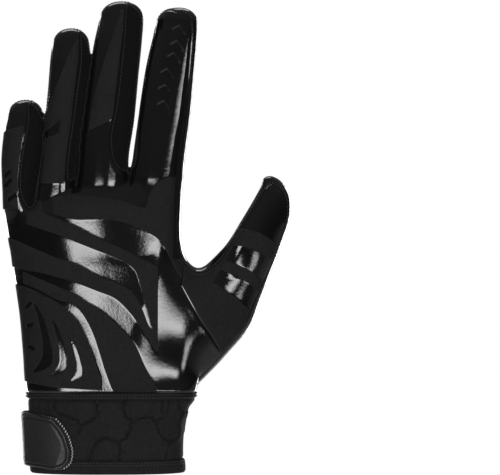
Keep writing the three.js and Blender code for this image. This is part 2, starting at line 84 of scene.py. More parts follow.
def table(columns: str, *rows: tuple[float, ...]) -> Columns:
    """Turns the rows of a table into named columns.

    Args:
        columns: The columns' names, with spaces between them.
        rows: The rows.

    Returns:
        Each column as an array, by its name.
    """
    return dict(zip(columns.split(), np.array(rows, float).T))


def through(at: np.ndarray, x: np.ndarray, y: np.ndarray) -> np.ndarray:
    """A smooth curve through points that doesn't overshoot them.

    Args:
        at: The places to give the curve's value at.
        x: The points' places, rising.
        y: The points' values.

    Returns:
        The curve's values.
    """
    step = np.diff(x)
    slope = np.diff(y) / step
    tangent = np.concatenate([slope[:1], np.zeros(len(slope) - 1), slope[-1:]])
    same = slope[:-1] * slope[1:] > 0
    first, second = 2 * step[1:] + step[:-1], step[1:] + 2 * step[:-1]
    safe = np.where(same[:, None], np.stack([slope[:-1], slope[1:]], 1), 1.0)
    mean = (first + second) / (first / safe[:, 0] + second / safe[:, 1])
    tangent[1:-1] = np.where(same, mean, 0)
    i = np.clip(np.searchsorted(x, at) - 1, 0, len(step) - 1)
    t = np.clip((at - x[i]) / step[i], 0, 1)
    low = (1 + 2 * t) * (1 - t) ** 2 * y[i] + t * (1 - t) ** 2 * step[i] * tangent[i]
    high = t * t * (3 - 2 * t) * y[i + 1] + t * t * (t - 1) * step[i] * tangent[i + 1]
    return low + high


def eased(value: np.ndarray) -> np.ndarray:
    """A smooth step from 0 to 1 for values from 0 to 1."""
    t = np.clip(value, 0, 1)
    return t * t * (3 - 2 * t)


def rising(value: np.ndarray, start: np.ndarray | float, run: float) -> np.ndarray:
    """A smooth step from 0 at a start to 1 one run later, or before it for a negative run."""
    return eased((value - start) / run)


def superellipse(angle: np.ndarray, squareness: float) -> tuple[np.ndarray, np.ndarray]:
    """Points round a squared circle; a squareness of 2 is a true circle.

    Args:
        angle: The angles round it.
        squareness: How square it is.

    Returns:
        The points' two coordinates.
    """
    c, s = np.cos(angle), np.sin(angle)
    power = 2 / squareness
    return np.sign(c) * np.abs(c) ** power, np.sign(s) * np.abs(s) ** power


@dataclass(frozen=True)
class Outline:
    """A closed outline in the flat hand, seen from the back, as rows of x and z."""

    points: np.ndarray

    REACH = 12.0

    @classmethod
    def between(cls, one: np.ndarray, other: np.ndarray) -> "Outline":
        """The outline between two lines that run the same way."""
        return cls(np.vstack([one, other[::-1]]))

    def inside(self, x: np.ndarray, z: np.ndarray) -> np.ndarray:
        """How far places lie inside the outline, negative outside, down to -REACH.

        Args:
            x: The places' x.
            z: The places' z.

        Returns:
            The distances.
        """
        found = np.full(x.shape, -self.REACH)
        low, high = self.points.min(0) - self.REACH, self.points.max(0) + self.REACH
        near = (x > low[0]) & (x < high[0]) & (z > low[1]) & (z < high[1])
        px, pz = x[near], z[near]
        best = np.full(px.shape, self.REACH**2)
        within = np.zeros(px.shape, bool)
        for (ax, az), (bx, bz) in zip(self.points, np.roll(self.points, -1, axis=0)):
            ex, ez = bx - ax, bz - az
            length = ex * ex + ez * ez
            if length < TINY:
                continue
            t = np.clip(((px - ax) * ex + (pz - az) * ez) / length, 0, 1)
            best = np.minimum(best, (px - ax - t * ex) ** 2 + (pz - az - t * ez) ** 2)
            if az != bz:
                beside = px < (bx - ax) * (pz - az) / (bz - az) + ax
                within ^= ((az > pz) != (bz > pz)) & beside
        found[near] = np.sqrt(best) * np.where(within, 1, -1)
        return found


@dataclass(frozen=True)
class Slot:
    """A short slanted groove, as a capsule between two places."""

    start: tuple[float, float]
    end: tuple[float, float]
    half_width: float

    def inside(self, x: np.ndarray, z: np.ndarray) -> np.ndarray:
        """How far places lie inside the slot.

        Args:
            x: The places' x.
            z: The places' z.

        Returns:
            The distances, negative outside.
        """
        ex, ez = self.end[0] - self.start[0], self.end[1] - self.start[1]
        px, pz = x - self.start[0], z - self.start[1]
        t = np.clip((px * ex + pz * ez) / (ex * ex + ez * ez), 0, 1)
        return self.half_width - np.hypot(px - t * ex, pz - t * ez)


class Skin:
    """Triangles whose vertices carry a place, a normal and any number of named values."""

    BASE = ("x", "y", "z", "nx", "ny", "nz")

    def __init__(self, data: np.ndarray, faces: np.ndarray, names: Iterable[str]) -> None:
        """Keeps the vertices' values and the triangles.

        Args:
            data: The values, a row for each vertex.
            faces: The triangles.
            names: The columns' names.
        """
        self.data = data
        self.faces = faces
        self.names = list(names)
        self.locked = np.zeros(len(data), bool)

    @classmethod
    def from_mesh(cls, points: np.ndarray, faces: np.ndarray) -> "Skin":
        """Makes a skin with smooth normals from points and triangles."""
        normals = vertex_normals(points, faces)
        return cls(np.hstack([points, normals]), faces, cls.BASE)

    def __getitem__(self, name: str) -> np.ndarray:
        """The named value of each vertex."""
        return self.data[:, self.names.index(name)]

    def __setitem__(self, name: str, values: np.ndarray) -> None:
        """Sets the named value of each vertex, adding the name if it is new.

        Args:
            name: The value's name.
            values: The value of each vertex.
        """
        if name in self.names:
            self.data[:, self.names.index(name)] = values
        else:
            self.names.append(name)
            self.data = np.hstack([self.data, np.reshape(values, (-1, 1))])

    @property
    def points(self) -> np.ndarray:
        """The vertices' places."""
        return self.data[:, :3]

    @property
    def normals(self) -> np.ndarray:
        """The vertices' unit normals."""
        n = self.data[:, 3:6]
        return n / np.maximum(np.linalg.norm(n, axis=1, keepdims=True), TINY)

    def mean(self, name: str) -> np.ndarray:
        """The named value at each triangle's middle."""
        return self[name][self.faces].mean(1)

    def kept(self, mask: np.ndarray) -> "Skin":
        """The part of the skin in the triangles that a mask names.

        Args:
            mask: Whether each triangle is kept.

        Returns:
            The part, as a skin of its own.
        """
        faces = self.faces[mask]
        used, inverse = np.unique(faces, return_inverse=True)
        part = Skin(self.data[used].copy(), inverse.reshape(-1, 3), self.names)
        part.locked = self.locked[used].copy()
        return part

    def within(self, name: str, level: float = 0.0) -> "Skin":
        """Splits the skin where a value crosses a level and keeps what is above it."""
        self.split(name, level)
        return self.kept(self.mean(name) > level)

    def split(self, name: str, level: float = 0.0, snap: float = 0.12) -> None:
        """Cuts triangles along the line where a value crosses a level.

        Args:
            name: The value's name.
            level: The level.
            snap: The share of an edge within which a vertex moves on to the line instead.
        """
        value = self[name] - level
        value[np.abs(value) < ON_LEVEL] = 0
        column = self.names.index(name)
        a, b = self._crossed(value)
        if not len(a):
            return
        t = value[a] / (value[a] - value[b])
        near_a = (t < snap) & ~self.locked[a]
        near_b = (t > 1 - snap) & ~self.locked[b]
        vertex = np.concatenate([a[near_a], b[near_b]])
        other = np.concatenate([b[near_a], a[near_b]])
        amount = np.concatenate([t[near_a], 1 - t[near_b]])
        order = np.argsort(-amount)
        vertex, other, amount = vertex[order], other[order], amount[order, None]
        self.data[vertex] += amount * (self.data[other] - self.data[vertex])
        self.data[vertex, column] = level
        value[vertex] = 0
        a, b = self._crossed(value)
        t = (value[a] / (value[a] - value[b]))[:, None]
        added = self.data[a] + t * (self.data[b] - self.data[a])
        added[:, column] = level
        count = len(value)
        self.faces = self._recut(np.sign(value), a, b, count)
        self.data = np.vstack([self.data, added])
        self.locked = np.concatenate([self.locked | (value == 0), np.ones(len(a), bool)])

    def _crossed(self, value: np.ndarray) -> tuple[np.ndarray, np.ndarray]:
        """The edges whose ends lie on two sides of a line.

        Args:
            value: Each vertex's value, 0 on the line.

        Returns:
            The first and the second vertex of each edge.
        """
        at = value[self.faces]
        active = self.faces[(at.min(1) < 0) & (at.max(1) > 0)]
        pairs = np.sort(sides(active), axis=1)
        keys = np.unique(pairs[:, 0] * len(value) + pairs[:, 1])
        a, b = keys // len(value), keys % len(value)
        cross = value[a] * value[b] < 0
        return a[cross], b[cross]

    def _recut(self, sign: np.ndarray, a: np.ndarray, b: np.ndarray, count: int) -> np.ndarray:
        """The triangles after the crossed edges get a new vertex each.

        Args:
            sign: The side on which each vertex lies.
            a: The crossed edges' first vertices.
            b: Their second vertices.
            count: How many vertices there were.

        Returns:
            The new triangles.
        """
        at = sign[self.faces]
        mixed = (at.min(1) < 0) & (at.max(1) > 0)
        rest, cut, at = self.faces[~mixed], self.faces[mixed], at[mixed]
        keys = a * count + b

        def between(p: np.ndarray, q: np.ndarray) -> np.ndarray:
            """The new vertices on the edges between two lists of vertices."""
            low, high = np.minimum(p, q), np.maximum(p, q)
            return count + np.searchsorted(keys, low * count + high)

        touches = (at == 0).any(1)
        first = np.where(touches, np.argmax(at == 0, 1), np.argmax(at == -at.sum(1)[:, None], 1))
        turned = np.take_along_axis(cut, (first[:, None] + np.arange(3)) % 3, 1)
        one, two = turned[touches], turned[~touches]
        m = between(one[:, 1], one[:, 2])
        halves = [np.stack([one[:, 0], one[:, 1], m], 1), np.stack([one[:, 0], m, one[:, 2]], 1)]
        left, right = between(two[:, 0], two[:, 1]), between(two[:, 0], two[:, 2])
        thirds = [
            np.stack([two[:, 0], left, right], 1),
            np.stack([left, two[:, 1], two[:, 2]], 1),
            np.stack([left, two[:, 2], right], 1),
        ]
        return np.vstack([rest, *halves, *thirds])

    def edge_pairs(self) -> np.ndarray:
        """The edges of the outer boundary, in the triangles' direction.

        Returns:
            The edges' pairs of vertices.
        """
        directed = sides(self.faces)
        count = len(self.data)
        keys = directed[:, 0] * count + directed[:, 1]
        back = directed[:, 1] * count + directed[:, 0]
        return directed[~np.isin(keys, back)]

    def measure_rim(self, name: str = "rim", spacing: float = 0.15) -> None:
        """Gives each vertex its distance to the nearest boundary edge.

        Args:
            name: The name to keep the distance under.
            spacing: How far apart the boundary's points are taken.
        """
        a, b = self.edge_pairs().T
        start, run = self.points[a], self.points[b] - self.points[a]
        parts = max(1, int(math.ceil(np.linalg.norm(run, axis=1).max() / spacing)))
        shares = np.arange(parts) / parts
        dense = (start[:, None] + shares[:, None] * run[:, None]).reshape(-1, 3)
        tree = KDTree(len(dense))
        for i, p in enumerate(dense.tolist()):
            tree.insert(p, i)
        tree.balance()
        self[name] = np.array([tree.find(p)[2] for p in self.points.tolist()])
        self[name][a] = 0
        self.locked[a] = True

    def level_edges(self, name: str, level: float) -> np.ndarray:
        """The edges that run along a level at which the skin was split.

        Args:
            name: The value's name.
            level: The level.

        Returns:
            The edges' pairs of vertices.
        """
        on = np.abs(self[name] - level) < ON_LEVEL
        pairs = np.sort(sides(self.faces), axis=1)
        pairs = pairs[on[pairs].all(1)]
        return np.unique(pairs, axis=0)


def sides(faces: np.ndarray) -> np.ndarray:
    """The three sides of each triangle, as pairs of vertices."""
    return faces[:, [0, 1, 1, 2, 2, 0]].reshape(-1, 2)


def tube(count: int, rows: int) -> list[np.ndarray]:
    """The triangles between rings of vertices.

    Args:
        count: How many vertices a ring has.
        rows: How many rings there are.

    Returns:
        The triangles, in blocks of one for each vertex of a ring.
    """
    j = np.arange(count)
    following = (j + 1) % count
    faces = []
    for i in range(rows - 1):
        low, high = i * count, (i + 1) * count
        faces.append(np.stack([low + j, low + following, high + following], 1))
        faces.append(np.stack([low + j, high + following, high + j], 1))
    return faces


def vertex_normals(points: np.ndarray, faces: np.ndarray) -> np.ndarray:
    """Smooth normals, each the mean of the triangles round its vertex by their area.

    Args:
        points: The vertices.
        faces: The triangles.

    Returns:
        The vertices' unit normals.
    """
    a, b, c = (points[faces[:, i]] for i in range(3))
    flat = np.cross(b - a, c - a)
    total = np.stack(
        [
            sum(np.bincount(faces[:, i], flat[:, k], len(points)) for i in range(3))
            for k in range(3)
        ],
        1,
    )
    return total / np.maximum(np.linalg.norm(total, axis=1, keepdims=True), TINY_AREA)


def relaxed(values: np.ndarray, faces: np.ndarray, strength: np.ndarray, rounds: int) -> np.ndarray:
    """Moves each vertex's values towards the mean of its neighbours'.

    Args:
        values: A row for each vertex.
        faces: The triangles.
        strength: How far each vertex moves in one round; those at 0 stay.
        rounds: How many rounds.

    Returns:
        The new values.
    """
    least = 0.005
    moving = np.abs(strength) > least
    pairs = np.sort(sides(faces), axis=1)
    pairs = pairs[moving[pairs].any(1)]
    keys = np.unique(pairs[:, 0] * len(values) + pairs[:, 1])
    used, inverse = np.unique(np.stack([keys // len(values), keys % len(values)]), return_inverse=True)
    a, b = inverse.reshape(2, -1)
    near = values[used]
    amount = np.where(moving[used], strength[used], 0)
    degree = np.maximum(np.bincount(a, minlength=len(used)) + np.bincount(b, minlength=len(used)), 1)
    for _ in range(rounds):
        for k in range(values.shape[1]):
            total = np.bincount(a, near[b, k], len(used)) + np.bincount(b, near[a, k], len(used))
            near[:, k] += amount * (total / degree - near[:, k])
    result = values.copy()
    result[used] = near
    return result


@dataclass(frozen=True)
class HandSizes:
    """The hand part's driving sizes, the same as the solids'."""

    length: float = 198.0
    breadth: float = 87.5
    depth: float = 38.0
    finger_width: float = 26.0
    finger_depth: float = 20.0
    thumb_length: float = 111.6
    thumb_width: float = 26.0
    thumb_depth: float = 24.0
    thumb_lean: float = math.radians(30.1)
    cuff_height: float = 37.0
    welt_height: float = 3.2
    gap: float = 0.3
    curl_forward: float = 10.0
    edge_forward: float = 3.0
    thumb_forward: float = 12.0
    finger_squareness: float = 2.5
    palm_squareness: float = 2.5
    curl_ease: float = 0.25  # how gently the fingers' curl sets in
    curl_from: float = 0.5  # of the length
    palm_hollow: float = 0.16
    thumb_from: float = 0.3  # of the breadth, where the thumb begins to come forward
    thumb_fade: float = 3.0  # how soon the fingers' curl ends on the thumb's side
    cuff_fade: float = 0.3  # of the length; from there up the sideways shifts are full

    @property
    def wrist_seam(self) -> float:
        """The height at which the hand part is sewn to the welt."""
        return self.cuff_height + self.welt_height

    def up(self, share: np.ndarray | float) -> np.ndarray | float:
        """A height from a share of the hand's length."""
        return self.cuff_height + np.asarray(share) * self.length

    def across(self, share: np.ndarray | float) -> np.ndarray | float:
        """A place across the hand from a share of its breadth."""
        return np.asarray(share) * self.breadth

    def on_thumb(self, along: np.ndarray, beside: np.ndarray) -> np.ndarray:
        """Places on the thumb from shares of its length.

        Args:
            along: The shares along it.
            beside: The shares beside it.

        Returns:
            The places' x and z.
        """
        far = np.asarray(along) * self.thumb_length
        out = np.asarray(beside) * self.thumb_length
        s, c = math.sin(self.thumb_lean), math.cos(self.thumb_lean)
        x = self.across(ROOT["across"]) + far * s + out * c
        return np.stack([x, self.up(ROOT["up"]) + far * c - out * s], -1)

    def forward(self, x: np.ndarray, z: np.ndarray) -> np.ndarray:
        """How far forward the middle surface of the relaxed hand lies.

        Args:
            x: Places across the hand.
            z: Their heights.

        Returns:
            The shift along Y.
        """
        start, ease = self.up(self.curl_from), self.curl_ease
        curl = np.maximum(0, (z - start) / (self.up(1) - start))
        curl = (np.hypot(curl, ease) - ease) / (math.hypot(1, ease) - ease)
        edge = np.maximum(0, -x / self.across(0.5))
        beside = self.across(self.thumb_from)
        thumb = np.maximum(0, (x - beside) / (self.across(1) - beside))
        fade = np.clip((z - self.cuff_height) / (self.up(self.cuff_fade) - self.cuff_height), 0, 1)
        finger = 1 - np.minimum(1, thumb * self.thumb_fade)
        shift = self.curl_forward * curl * finger + self.edge_forward * edge**2 * fade
        return shift + self.thumb_forward * thumb**2 * fade


SIZES = HandSizes()
ROOT = {"across": 0.343, "up": 0.0758}
SECTION = "up across width depth"


@dataclass(frozen=True)
class Finger:
    """A finger: its sections from the root up as shares of the hand's sizes, and its tip."""

    name: str
    tip: float
    rows: Columns

    def at(self, z: np.ndarray, column: str) -> np.ndarray:
        """A column of the sections' table at heights."""
        return through(np.asarray(z, float), SIZES.up(self.rows["up"]), self.rows[column])

    def edge(self, z: np.ndarray, share: float) -> np.ndarray:
        """Places at heights, at a share of the half width from the finger's middle."""
        z = np.asarray(z, float)
        half = self.at(z, "width") * SIZES.finger_width / 2
        return np.stack([SIZES.across(self.at(z, "across")) + share * half, z], -1)


PINKY = Finger(
    "pinky",
    0.7525,
    table(
        SECTION,
        (0.38, -0.463, 0.67, 0.94),
        (0.455, -0.497, 0.64, 0.92),
        (0.505, -0.514, 0.575, 0.88),
        (0.55, -0.509, 0.64, 0.86),
        (0.606, -0.501, 0.72, 0.83),
        (0.672, -0.485, 0.74, 0.8),
        (0.714, -0.476, 0.68, 0.74),
    ),
)
RING = Finger(
    "ring",
    0.935,
    table(
        SECTION,
        (0.39, -0.314, 1.04, 1.05),
        (0.49, -0.307, 0.88, 1.0),
        (0.55, -0.295, 0.74, 0.95),
        (0.621, -0.273, 0.71, 0.92),
        (0.747, -0.246, 0.715, 0.88),
        (0.848, -0.223, 0.757, 0.85),
        (0.894, -0.216, 0.7, 0.78),
    ),
)
MIDDLE = Finger(
    "middle",
    1.004,
    table(
        SECTION,
        (0.39, -0.051, 1.06, 1.08),
        (0.52, -0.029, 1.03, 1.05),
        (0.601, -0.0225, 0.938, 1.02),
        (0.702, 0.003, 0.975, 0.98),
        (0.823, 0.033, 0.945, 0.95),
        (0.914, 0.058, 0.9, 0.9),
        (0.963, 0.075, 0.82, 0.78),
    ),
)
INDEX = Finger(
    "index",
    0.987,
    table(
        SECTION,
        (0.38, 0.251, 1.15, 1.1),
        (0.52, 0.269, 1.06, 1.07),
        (0.601, 0.289, 1.01, 1.04),
        (0.702, 0.319, 1.0, 1.0),
        (0.823, 0.351, 0.95, 0.95),
        (0.904, 0.379, 0.87, 0.88),
        (0.949, 0.393, 0.79, 0.78),
    ),
)
PALM = table(
    "up left right depth",
    (0.0, -0.455, 0.497, 1.1),
    (0.056, -0.469, 0.526, 1.06),
    (0.116, -0.478, 0.571, 1.01),
    (0.192, -0.494, 0.571, 0.95),
    (0.268, -0.519, 0.526, 0.89),
    (0.333, -0.544, 0.5, 0.84),
    (0.354, -0.55, 0.44, 0.82),
    (0.409, -0.567, 0.425, 0.79),
    (0.46, -0.549, 0.389, 0.76),
    (0.5, -0.411, 0.377, 0.68),
    (0.525, -0.36, 0.33, 0.4),
)
THUMB = table(
    "along beside width depth",
    (0.0, 0.0, 1.31, 1.5),
    (0.172, 0.03, 1.42, 1.46),
    (0.337, 0.063, 1.38, 1.29),
    (0.478, 0.054, 1.28, 1.125),
    (0.602, 0.065, 1.02, 1.0),
    (0.732, 0.057, 0.92, 0.9),
    (0.846, 0.048, 0.83, 0.81),
    (0.914, 0.032, 0.69, 0.69),
)


@dataclass
class HandForm:
    """The whole hand part's surface, flat, as one fine skin."""

    sizes: HandSizes = SIZES
    step: float = 2.0
    finger_sides: int = 56
    palm_sides: int = 96
    cap_rings: int = 12
    voxel: float = 0.72
    below: float = 9.0  # how far the palm's loft runs below the wrist seam
    thumb_tip: float = 0.98
    heel_squareness: float = 3.8
    thumb_back: float = 0.64  # the share of the thumb root's thickness on its back
    back_from: float = 0.3  # of the thumb's length, from where its back fills out
    back_run: float = 0.4
    cap_power: float = 0.9
    crotch_rounds: int = 50
    web_rounds: int = 160
    flat_rounds: int = 450
    web_reach: tuple[float, float] = (12.0, 16.0)

    HEEL = (0.12, 0.27)  # of the length, between which the heel's squareness ends
    EVEN = (0.5, -0.52) * 3  # rounds that smooth without shrinking

    # The swell beside the thumb and the hollow over its root: places, reaches and heights.
    SWELLS = ((36.0, 114.0, 11.0, 20.0, 2.2), (31.0, 53.0, 7.5, 10.0, -1.2))
    CROTCHES = table("across up", (-0.45, 0.49), (-0.22, 0.54), (0.14, 0.57))
    OUTER = table("across up", (0.5, 0.02), (0.65, 0.1), (0.76, 0.167), (0.88, 0.273), (0.96, 0.38))

    def ring(
        self, x: float, z: float, width: float, depth: float, lean: float, sides: int, square: float
    ) -> np.ndarray:
        """One ring of a limb.

        Args:
            x: Its middle's x.
            z: Its middle's z.
            width: Its width.
            depth: Its depth.
            lean: The limb's angle from the fingers' direction.
            sides: How many vertices it has.
            square: How square it is.

        Returns:
            The ring's vertices.
        """
        aside, y = superellipse(np.arange(sides) * 2 * math.pi / sides, square)
        aside = aside * width / 2
        return np.stack(
            [x + aside * math.cos(lean), y * depth / 2, z - aside * math.sin(lean)], 1
        )

    def limb(self, rows: np.ndarray, tip: np.ndarray, lean: float) -> list[np.ndarray]:
        """The rings of a finger or thumb, with a round end at its tip.

        Args:
            rows: The x, z, width and depth of each section.
            tip: The tip's x and z.
            lean: The angle from the fingers' direction.

        Returns:
            The rings from the root up.
        """
        run = np.concatenate([[0], np.cumsum(np.hypot(*np.diff(rows[:, :2], axis=0).T))])
        at = np.linspace(0, run[-1], int(run[-1] / self.step) + 1)
        fine = np.stack([through(at, run, rows[:, k]) for k in range(4)], 1)
        x, z, width, depth = fine[-1]
        angles = (np.arange(self.cap_rings) + 1) / (self.cap_rings + 0.2) * math.pi / 2
        cap = [
            (
                x + (tip[0] - x) * math.sin(a),
                z + (tip[1] - z) * math.sin(a),
                width * math.cos(a) ** self.cap_power,
                depth * math.cos(a) ** self.cap_power,
            )
            for a in angles
        ]
        square = self.sizes.finger_squareness
        return [self.ring(*row, lean, self.finger_sides, square) for row in [*fine, *cap]]

    def finger(self, finger: Finger) -> list[np.ndarray]:
        """The rings of one finger.

        Args:
            finger: The finger.

        Returns:
            The rings from the root up.
        """
        s, rows = self.sizes, finger.rows
        size = [s.across(rows["across"]), s.up(rows["up"])]
        size += [rows["width"] * s.finger_width, rows["depth"] * s.finger_depth]
        rows = np.stack(size, 1)
        return self.limb(rows, np.array([rows[-1, 0], s.up(finger.tip)]), 0.0)

    def thumb(self) -> list[np.ndarray]:
        """The rings of the thumb.

        Returns:
            The rings from the root up.
        """
        s = self.sizes
        places = s.on_thumb(THUMB["along"], THUMB["beside"])
        size = np.stack([THUMB["width"] * s.thumb_width, THUMB["depth"] * s.thumb_depth], 1)
        rings = self.limb(np.hstack([places, size]), s.on_thumb(self.thumb_tip, 0.0), s.thumb_lean)
        root = s.on_thumb(0.0, 0.0)
        for ring in rings:
            along = np.hypot(*(ring[:, ::2].mean(0) - root)) / s.thumb_length
            filled = float(eased(np.array((along - self.back_from) / self.back_run)))
            back = self.thumb_back + (1 - self.thumb_back) * filled
            ring[:, 1] *= np.where(ring[:, 1] < 0, back, 1)
        return rings

    def palm(self) -> list[np.ndarray]:
        """The rings of the palm, hollowed a little along the middle of its palm side.

        Returns:
            The rings from the wrist up.
        """
        s = self.sizes
        heights = np.append(np.arange(0, PALM["up"][-1], self.step / s.length), PALM["up"][-1])
        rings = []
        for up in heights:
            left, right, depth = (
                float(through(np.array([up]), PALM["up"], PALM[key])[0])
                for key in ("left", "right", "depth")
            )
            x, width = s.across((left + right) / 2), s.across(right - left)
            depth *= s.depth
            z = s.up(up) - (self.below if up == 0 else 0)
            square = np.interp(up, self.HEEL, (self.heel_squareness, s.palm_squareness))
            ring = self.ring(x, z, width, depth, 0.0, self.palm_sides, float(square))
            strength = s.palm_hollow * math.sin(math.pi * up / PALM["up"][-1])
            share = 2 * (ring[:, 0] - x) / width
            hollow = strength * depth * np.maximum(0, 1 - (2 * share) ** 2)
            ring[:, 1] -= np.where(ring[:, 1] > 0, hollow, 0)
            rings.append(ring)
        return rings

    @staticmethod
    def loft(rings: list[np.ndarray]) -> tuple[np.ndarray, np.ndarray]:
        """A closed mesh through rings, with a fan over each end.

        Args:
            rings: The rings, with as many vertices each.

        Returns:
            The vertices and the triangles.
        """
        count, rows = len(rings[0]), len(rings)
        points = np.vstack([*rings, rings[0].mean(0), rings[-1].mean(0)])
        j = np.arange(count)
        following = (j + 1) % count
        faces = tube(count, rows)
        bottom, last = rows * count, (rows - 1) * count
        faces.append(np.stack([np.full(count, bottom), following, j], 1))
        faces.append(np.stack([np.full(count, bottom + 1), last + j, last + following], 1))
        return points, np.vstack(faces)

    def skin(self) -> Skin:
        """The limbs joined into one surface, smoothed where they meet.

        Returns:
            The hand's skin above the wrist seam.
        """
        limbs = [self.palm(), self.thumb(), *map(self.finger, (PINKY, RING, MIDDLE, INDEX))]
        lofts = [self.loft(rings) for rings in limbs]
        starts = np.cumsum([0] + [len(p) for p, _ in lofts[:-1]])
        points = np.vstack([p for p, _ in lofts])
        faces = np.vstack([f + start for (_, f), start in zip(lofts, starts)])
        points, faces = remeshed(points, faces, self.voxel)
        points = self.smoothed(points, faces)
        skin = Skin.from_mesh(points, faces)
        smooth = relaxed(skin.data[:, 3:6], faces, np.full(len(points), 0.6), 3)
        skin.data[:, 3:6] = smooth
        skin["wrist"] = skin["z"] - self.sizes.wrist_seam
        return skin.within("wrist")

    def smoothed(self, points: np.ndarray, faces: np.ndarray) -> np.ndarray:
        """Rounds the creases between the limbs and shapes the film beside the thumb.

        Args:
            points: The vertices.
            faces: The triangles.

        Returns:
            The vertices' new places.
        """
        for strength in self.EVEN:
            points = relaxed(points, faces, np.full(len(points), strength), 1)
        knuckles, web = self.creases(points)
        points = relaxed(points, faces, knuckles, self.crotch_rounds)
        points = relaxed(points, faces, web, self.web_rounds)
        points = relaxed(points, faces, self.flat_part(points, faces), self.flat_rounds)
        return self.swollen(points, faces)

    def creases(self, points: np.ndarray) -> tuple[np.ndarray, np.ndarray]:
        """How strongly the hand is smoothed below the fingers' crotches and in the thumb's web.

        Args:
            points: The vertices.

        Returns:
            The strength at each vertex for the one and for the other.
        """
        s, x, z = self.sizes, points[:, 0], points[:, 2]
        crotch = np.interp(x, s.across(self.CROTCHES["across"]), s.up(self.CROTCHES["up"]))
        knuckles = rising(z, crotch - 3, -5) * rising(z, s.up(0.36), 14) * 0.8
        wide, high = self.web_reach
        web = np.exp(-(((x - s.across(0.5)) / wide) ** 2 + ((z - s.up(0.335)) / high) ** 2))
        return knuckles, np.clip(web * 1.3, 0, 0.9)

    def flat_part(self, points: np.ndarray, faces: np.ndarray) -> np.ndarray:
        """How strongly the hand is smoothed on the flat of the thumb's side.

        Args:
            points: The vertices.
            faces: The triangles.

        Returns:
            The strength at each vertex.
        """
        s, x, z = self.sizes, points[:, 0], points[:, 2]
        edge = np.interp(z, s.up(self.OUTER["up"]), s.across(self.OUTER["across"]))
        start = s.across(np.interp(z, (s.up(0.16), s.up(0.27)), (0.13, 0.24)))
        flat = rising(x, start, 10) * rising(x, edge - 3.5, -7)
        flat *= rising(z, s.up(0.02), 7) * rising(z, s.up(0.4), -12)
        facing = np.abs(vertex_normals(points, faces)[:, 1]) > 0.25
        return 0.85 * flat * facing

    def swollen(self, points: np.ndarray, faces: np.ndarray) -> np.ndarray:
        """Raises and hollows the back beside the thumb.

        Args:
            points: The vertices, which are moved.
            faces: The triangles.

        Returns:
            The vertices.
        """
        x, _, z = points.T
        back = rising(-vertex_normals(points, faces)[:, 1], 0.2, 0.5)
        for place_x, place_z, reach_x, reach_z, height in self.SWELLS:
            across, up = (x - place_x) / reach_x, (z - place_z) / reach_z
            points[:, 1] -= height * np.exp(-(across**2 + up**2) / 2) * back
        return points


def remeshed(points: np.ndarray, faces: np.ndarray, voxel: float) -> tuple[np.ndarray, np.ndarray]:
    """Joins overlapping closed meshes into one surface of even triangles.

    Args:
        points: The vertices.
        faces: The triangles.
        voxel: The size of the new faces.

    Returns:
        The new vertices and triangles.
    """
    rough = bpy.data.objects.new("rough_hand", mesh_of("rough_hand", points, faces))
    bpy.context.scene.collection.objects.link(rough)
    modifier = rough.modifiers.new("joined", "REMESH")
    modifier.mode = "VOXEL"
    modifier.voxel_size = voxel * MM
    fine = rough.evaluated_get(bpy.context.evaluated_depsgraph_get()).to_mesh()
    co = np.zeros(len(fine.vertices) * 3)
    fine.vertices.foreach_get("co", co)
    fine.calc_loop_triangles()
    corners = np.zeros(len(fine.loop_triangles) * 3, np.int32)
    fine.loop_triangles.foreach_get("vertices", corners)
    result = co.reshape(-1, 3) / MM, corners.reshape(-1, 3).astype(np.int64)
    rough.to_mesh_clear()
    bpy.data.objects.remove(rough)
    return result


def mesh_of(name: str, points: np.ndarray, faces: np.ndarray) -> bpy.types.Mesh:
    """A Blender mesh, in metres.

    Args:
        name: The mesh's name.
        points: The vertices, in millimetres.
        faces: The triangles.

    Returns:
        The mesh.
    """
    mesh = bpy.data.meshes.new(name)
    mesh.vertices.add(len(points))
    mesh.vertices.foreach_set("co", (points * MM).ravel())
    mesh.loops.add(faces.size)
    mesh.loops.foreach_set("vertex_index", faces.ravel().astype(np.int32))
    mesh.polygons.add(len(faces))
    mesh.polygons.foreach_set("loop_start", np.arange(0, faces.size, 3, dtype=np.int32))
    mesh.update(calc_edges=True)
    mesh.validate()
    return mesh


def bent(points: np.ndarray) -> np.ndarray:
    """Points of the flat hand on the relaxed hand's middle surface."""
    result = points.copy()
    result[:, 1] += SIZES.forward(points[:, 0], points[:, 2])
    return result


class Shades:
    """Builds node trees: adds nodes, sets their values and links them."""

    def __init__(self, tree: bpy.types.NodeTree) -> None:
        """Keeps the tree to build in."""
        self.tree = tree

    def add(self, kind: str, settings: dict | None = None, **inputs: object) -> bpy.types.Node:
        """Adds a node.

        Args:
            kind: The node's type.
            settings: The node's own properties.
            inputs: Values or sockets for its inputs, with _ for a space, or _N for the Nth.

        Returns:
            The node.
        """
        node = self.tree.nodes.new(kind)
        for key, value in (settings or {}).items():
            setattr(node, key, value)
        for key, value in inputs.items():
            place = int(key[1:]) if key[1:].isdigit() else key.replace("_", " ")
            socket = node.inputs[place]
            if isinstance(value, bpy.types.NodeSocket):
                self.tree.links.new(value, socket)
            else:
                socket.default_value = value
        return node

    def math(self, operation: str, *values: object) -> bpy.types.NodeSocket:
        """A sum of one, two or three values."""
        inputs = {f"_{i}": value for i, value in enumerate(values)}
        return self.add("ShaderNodeMath", {"operation": operation}, **inputs).outputs[0]

    def scaled(self, value: object, low: float, high: float) -> bpy.types.NodeSocket:
        """A value from 0 to 1 spread between two others."""
        return self.math("MULTIPLY_ADD", value, high - low, low)


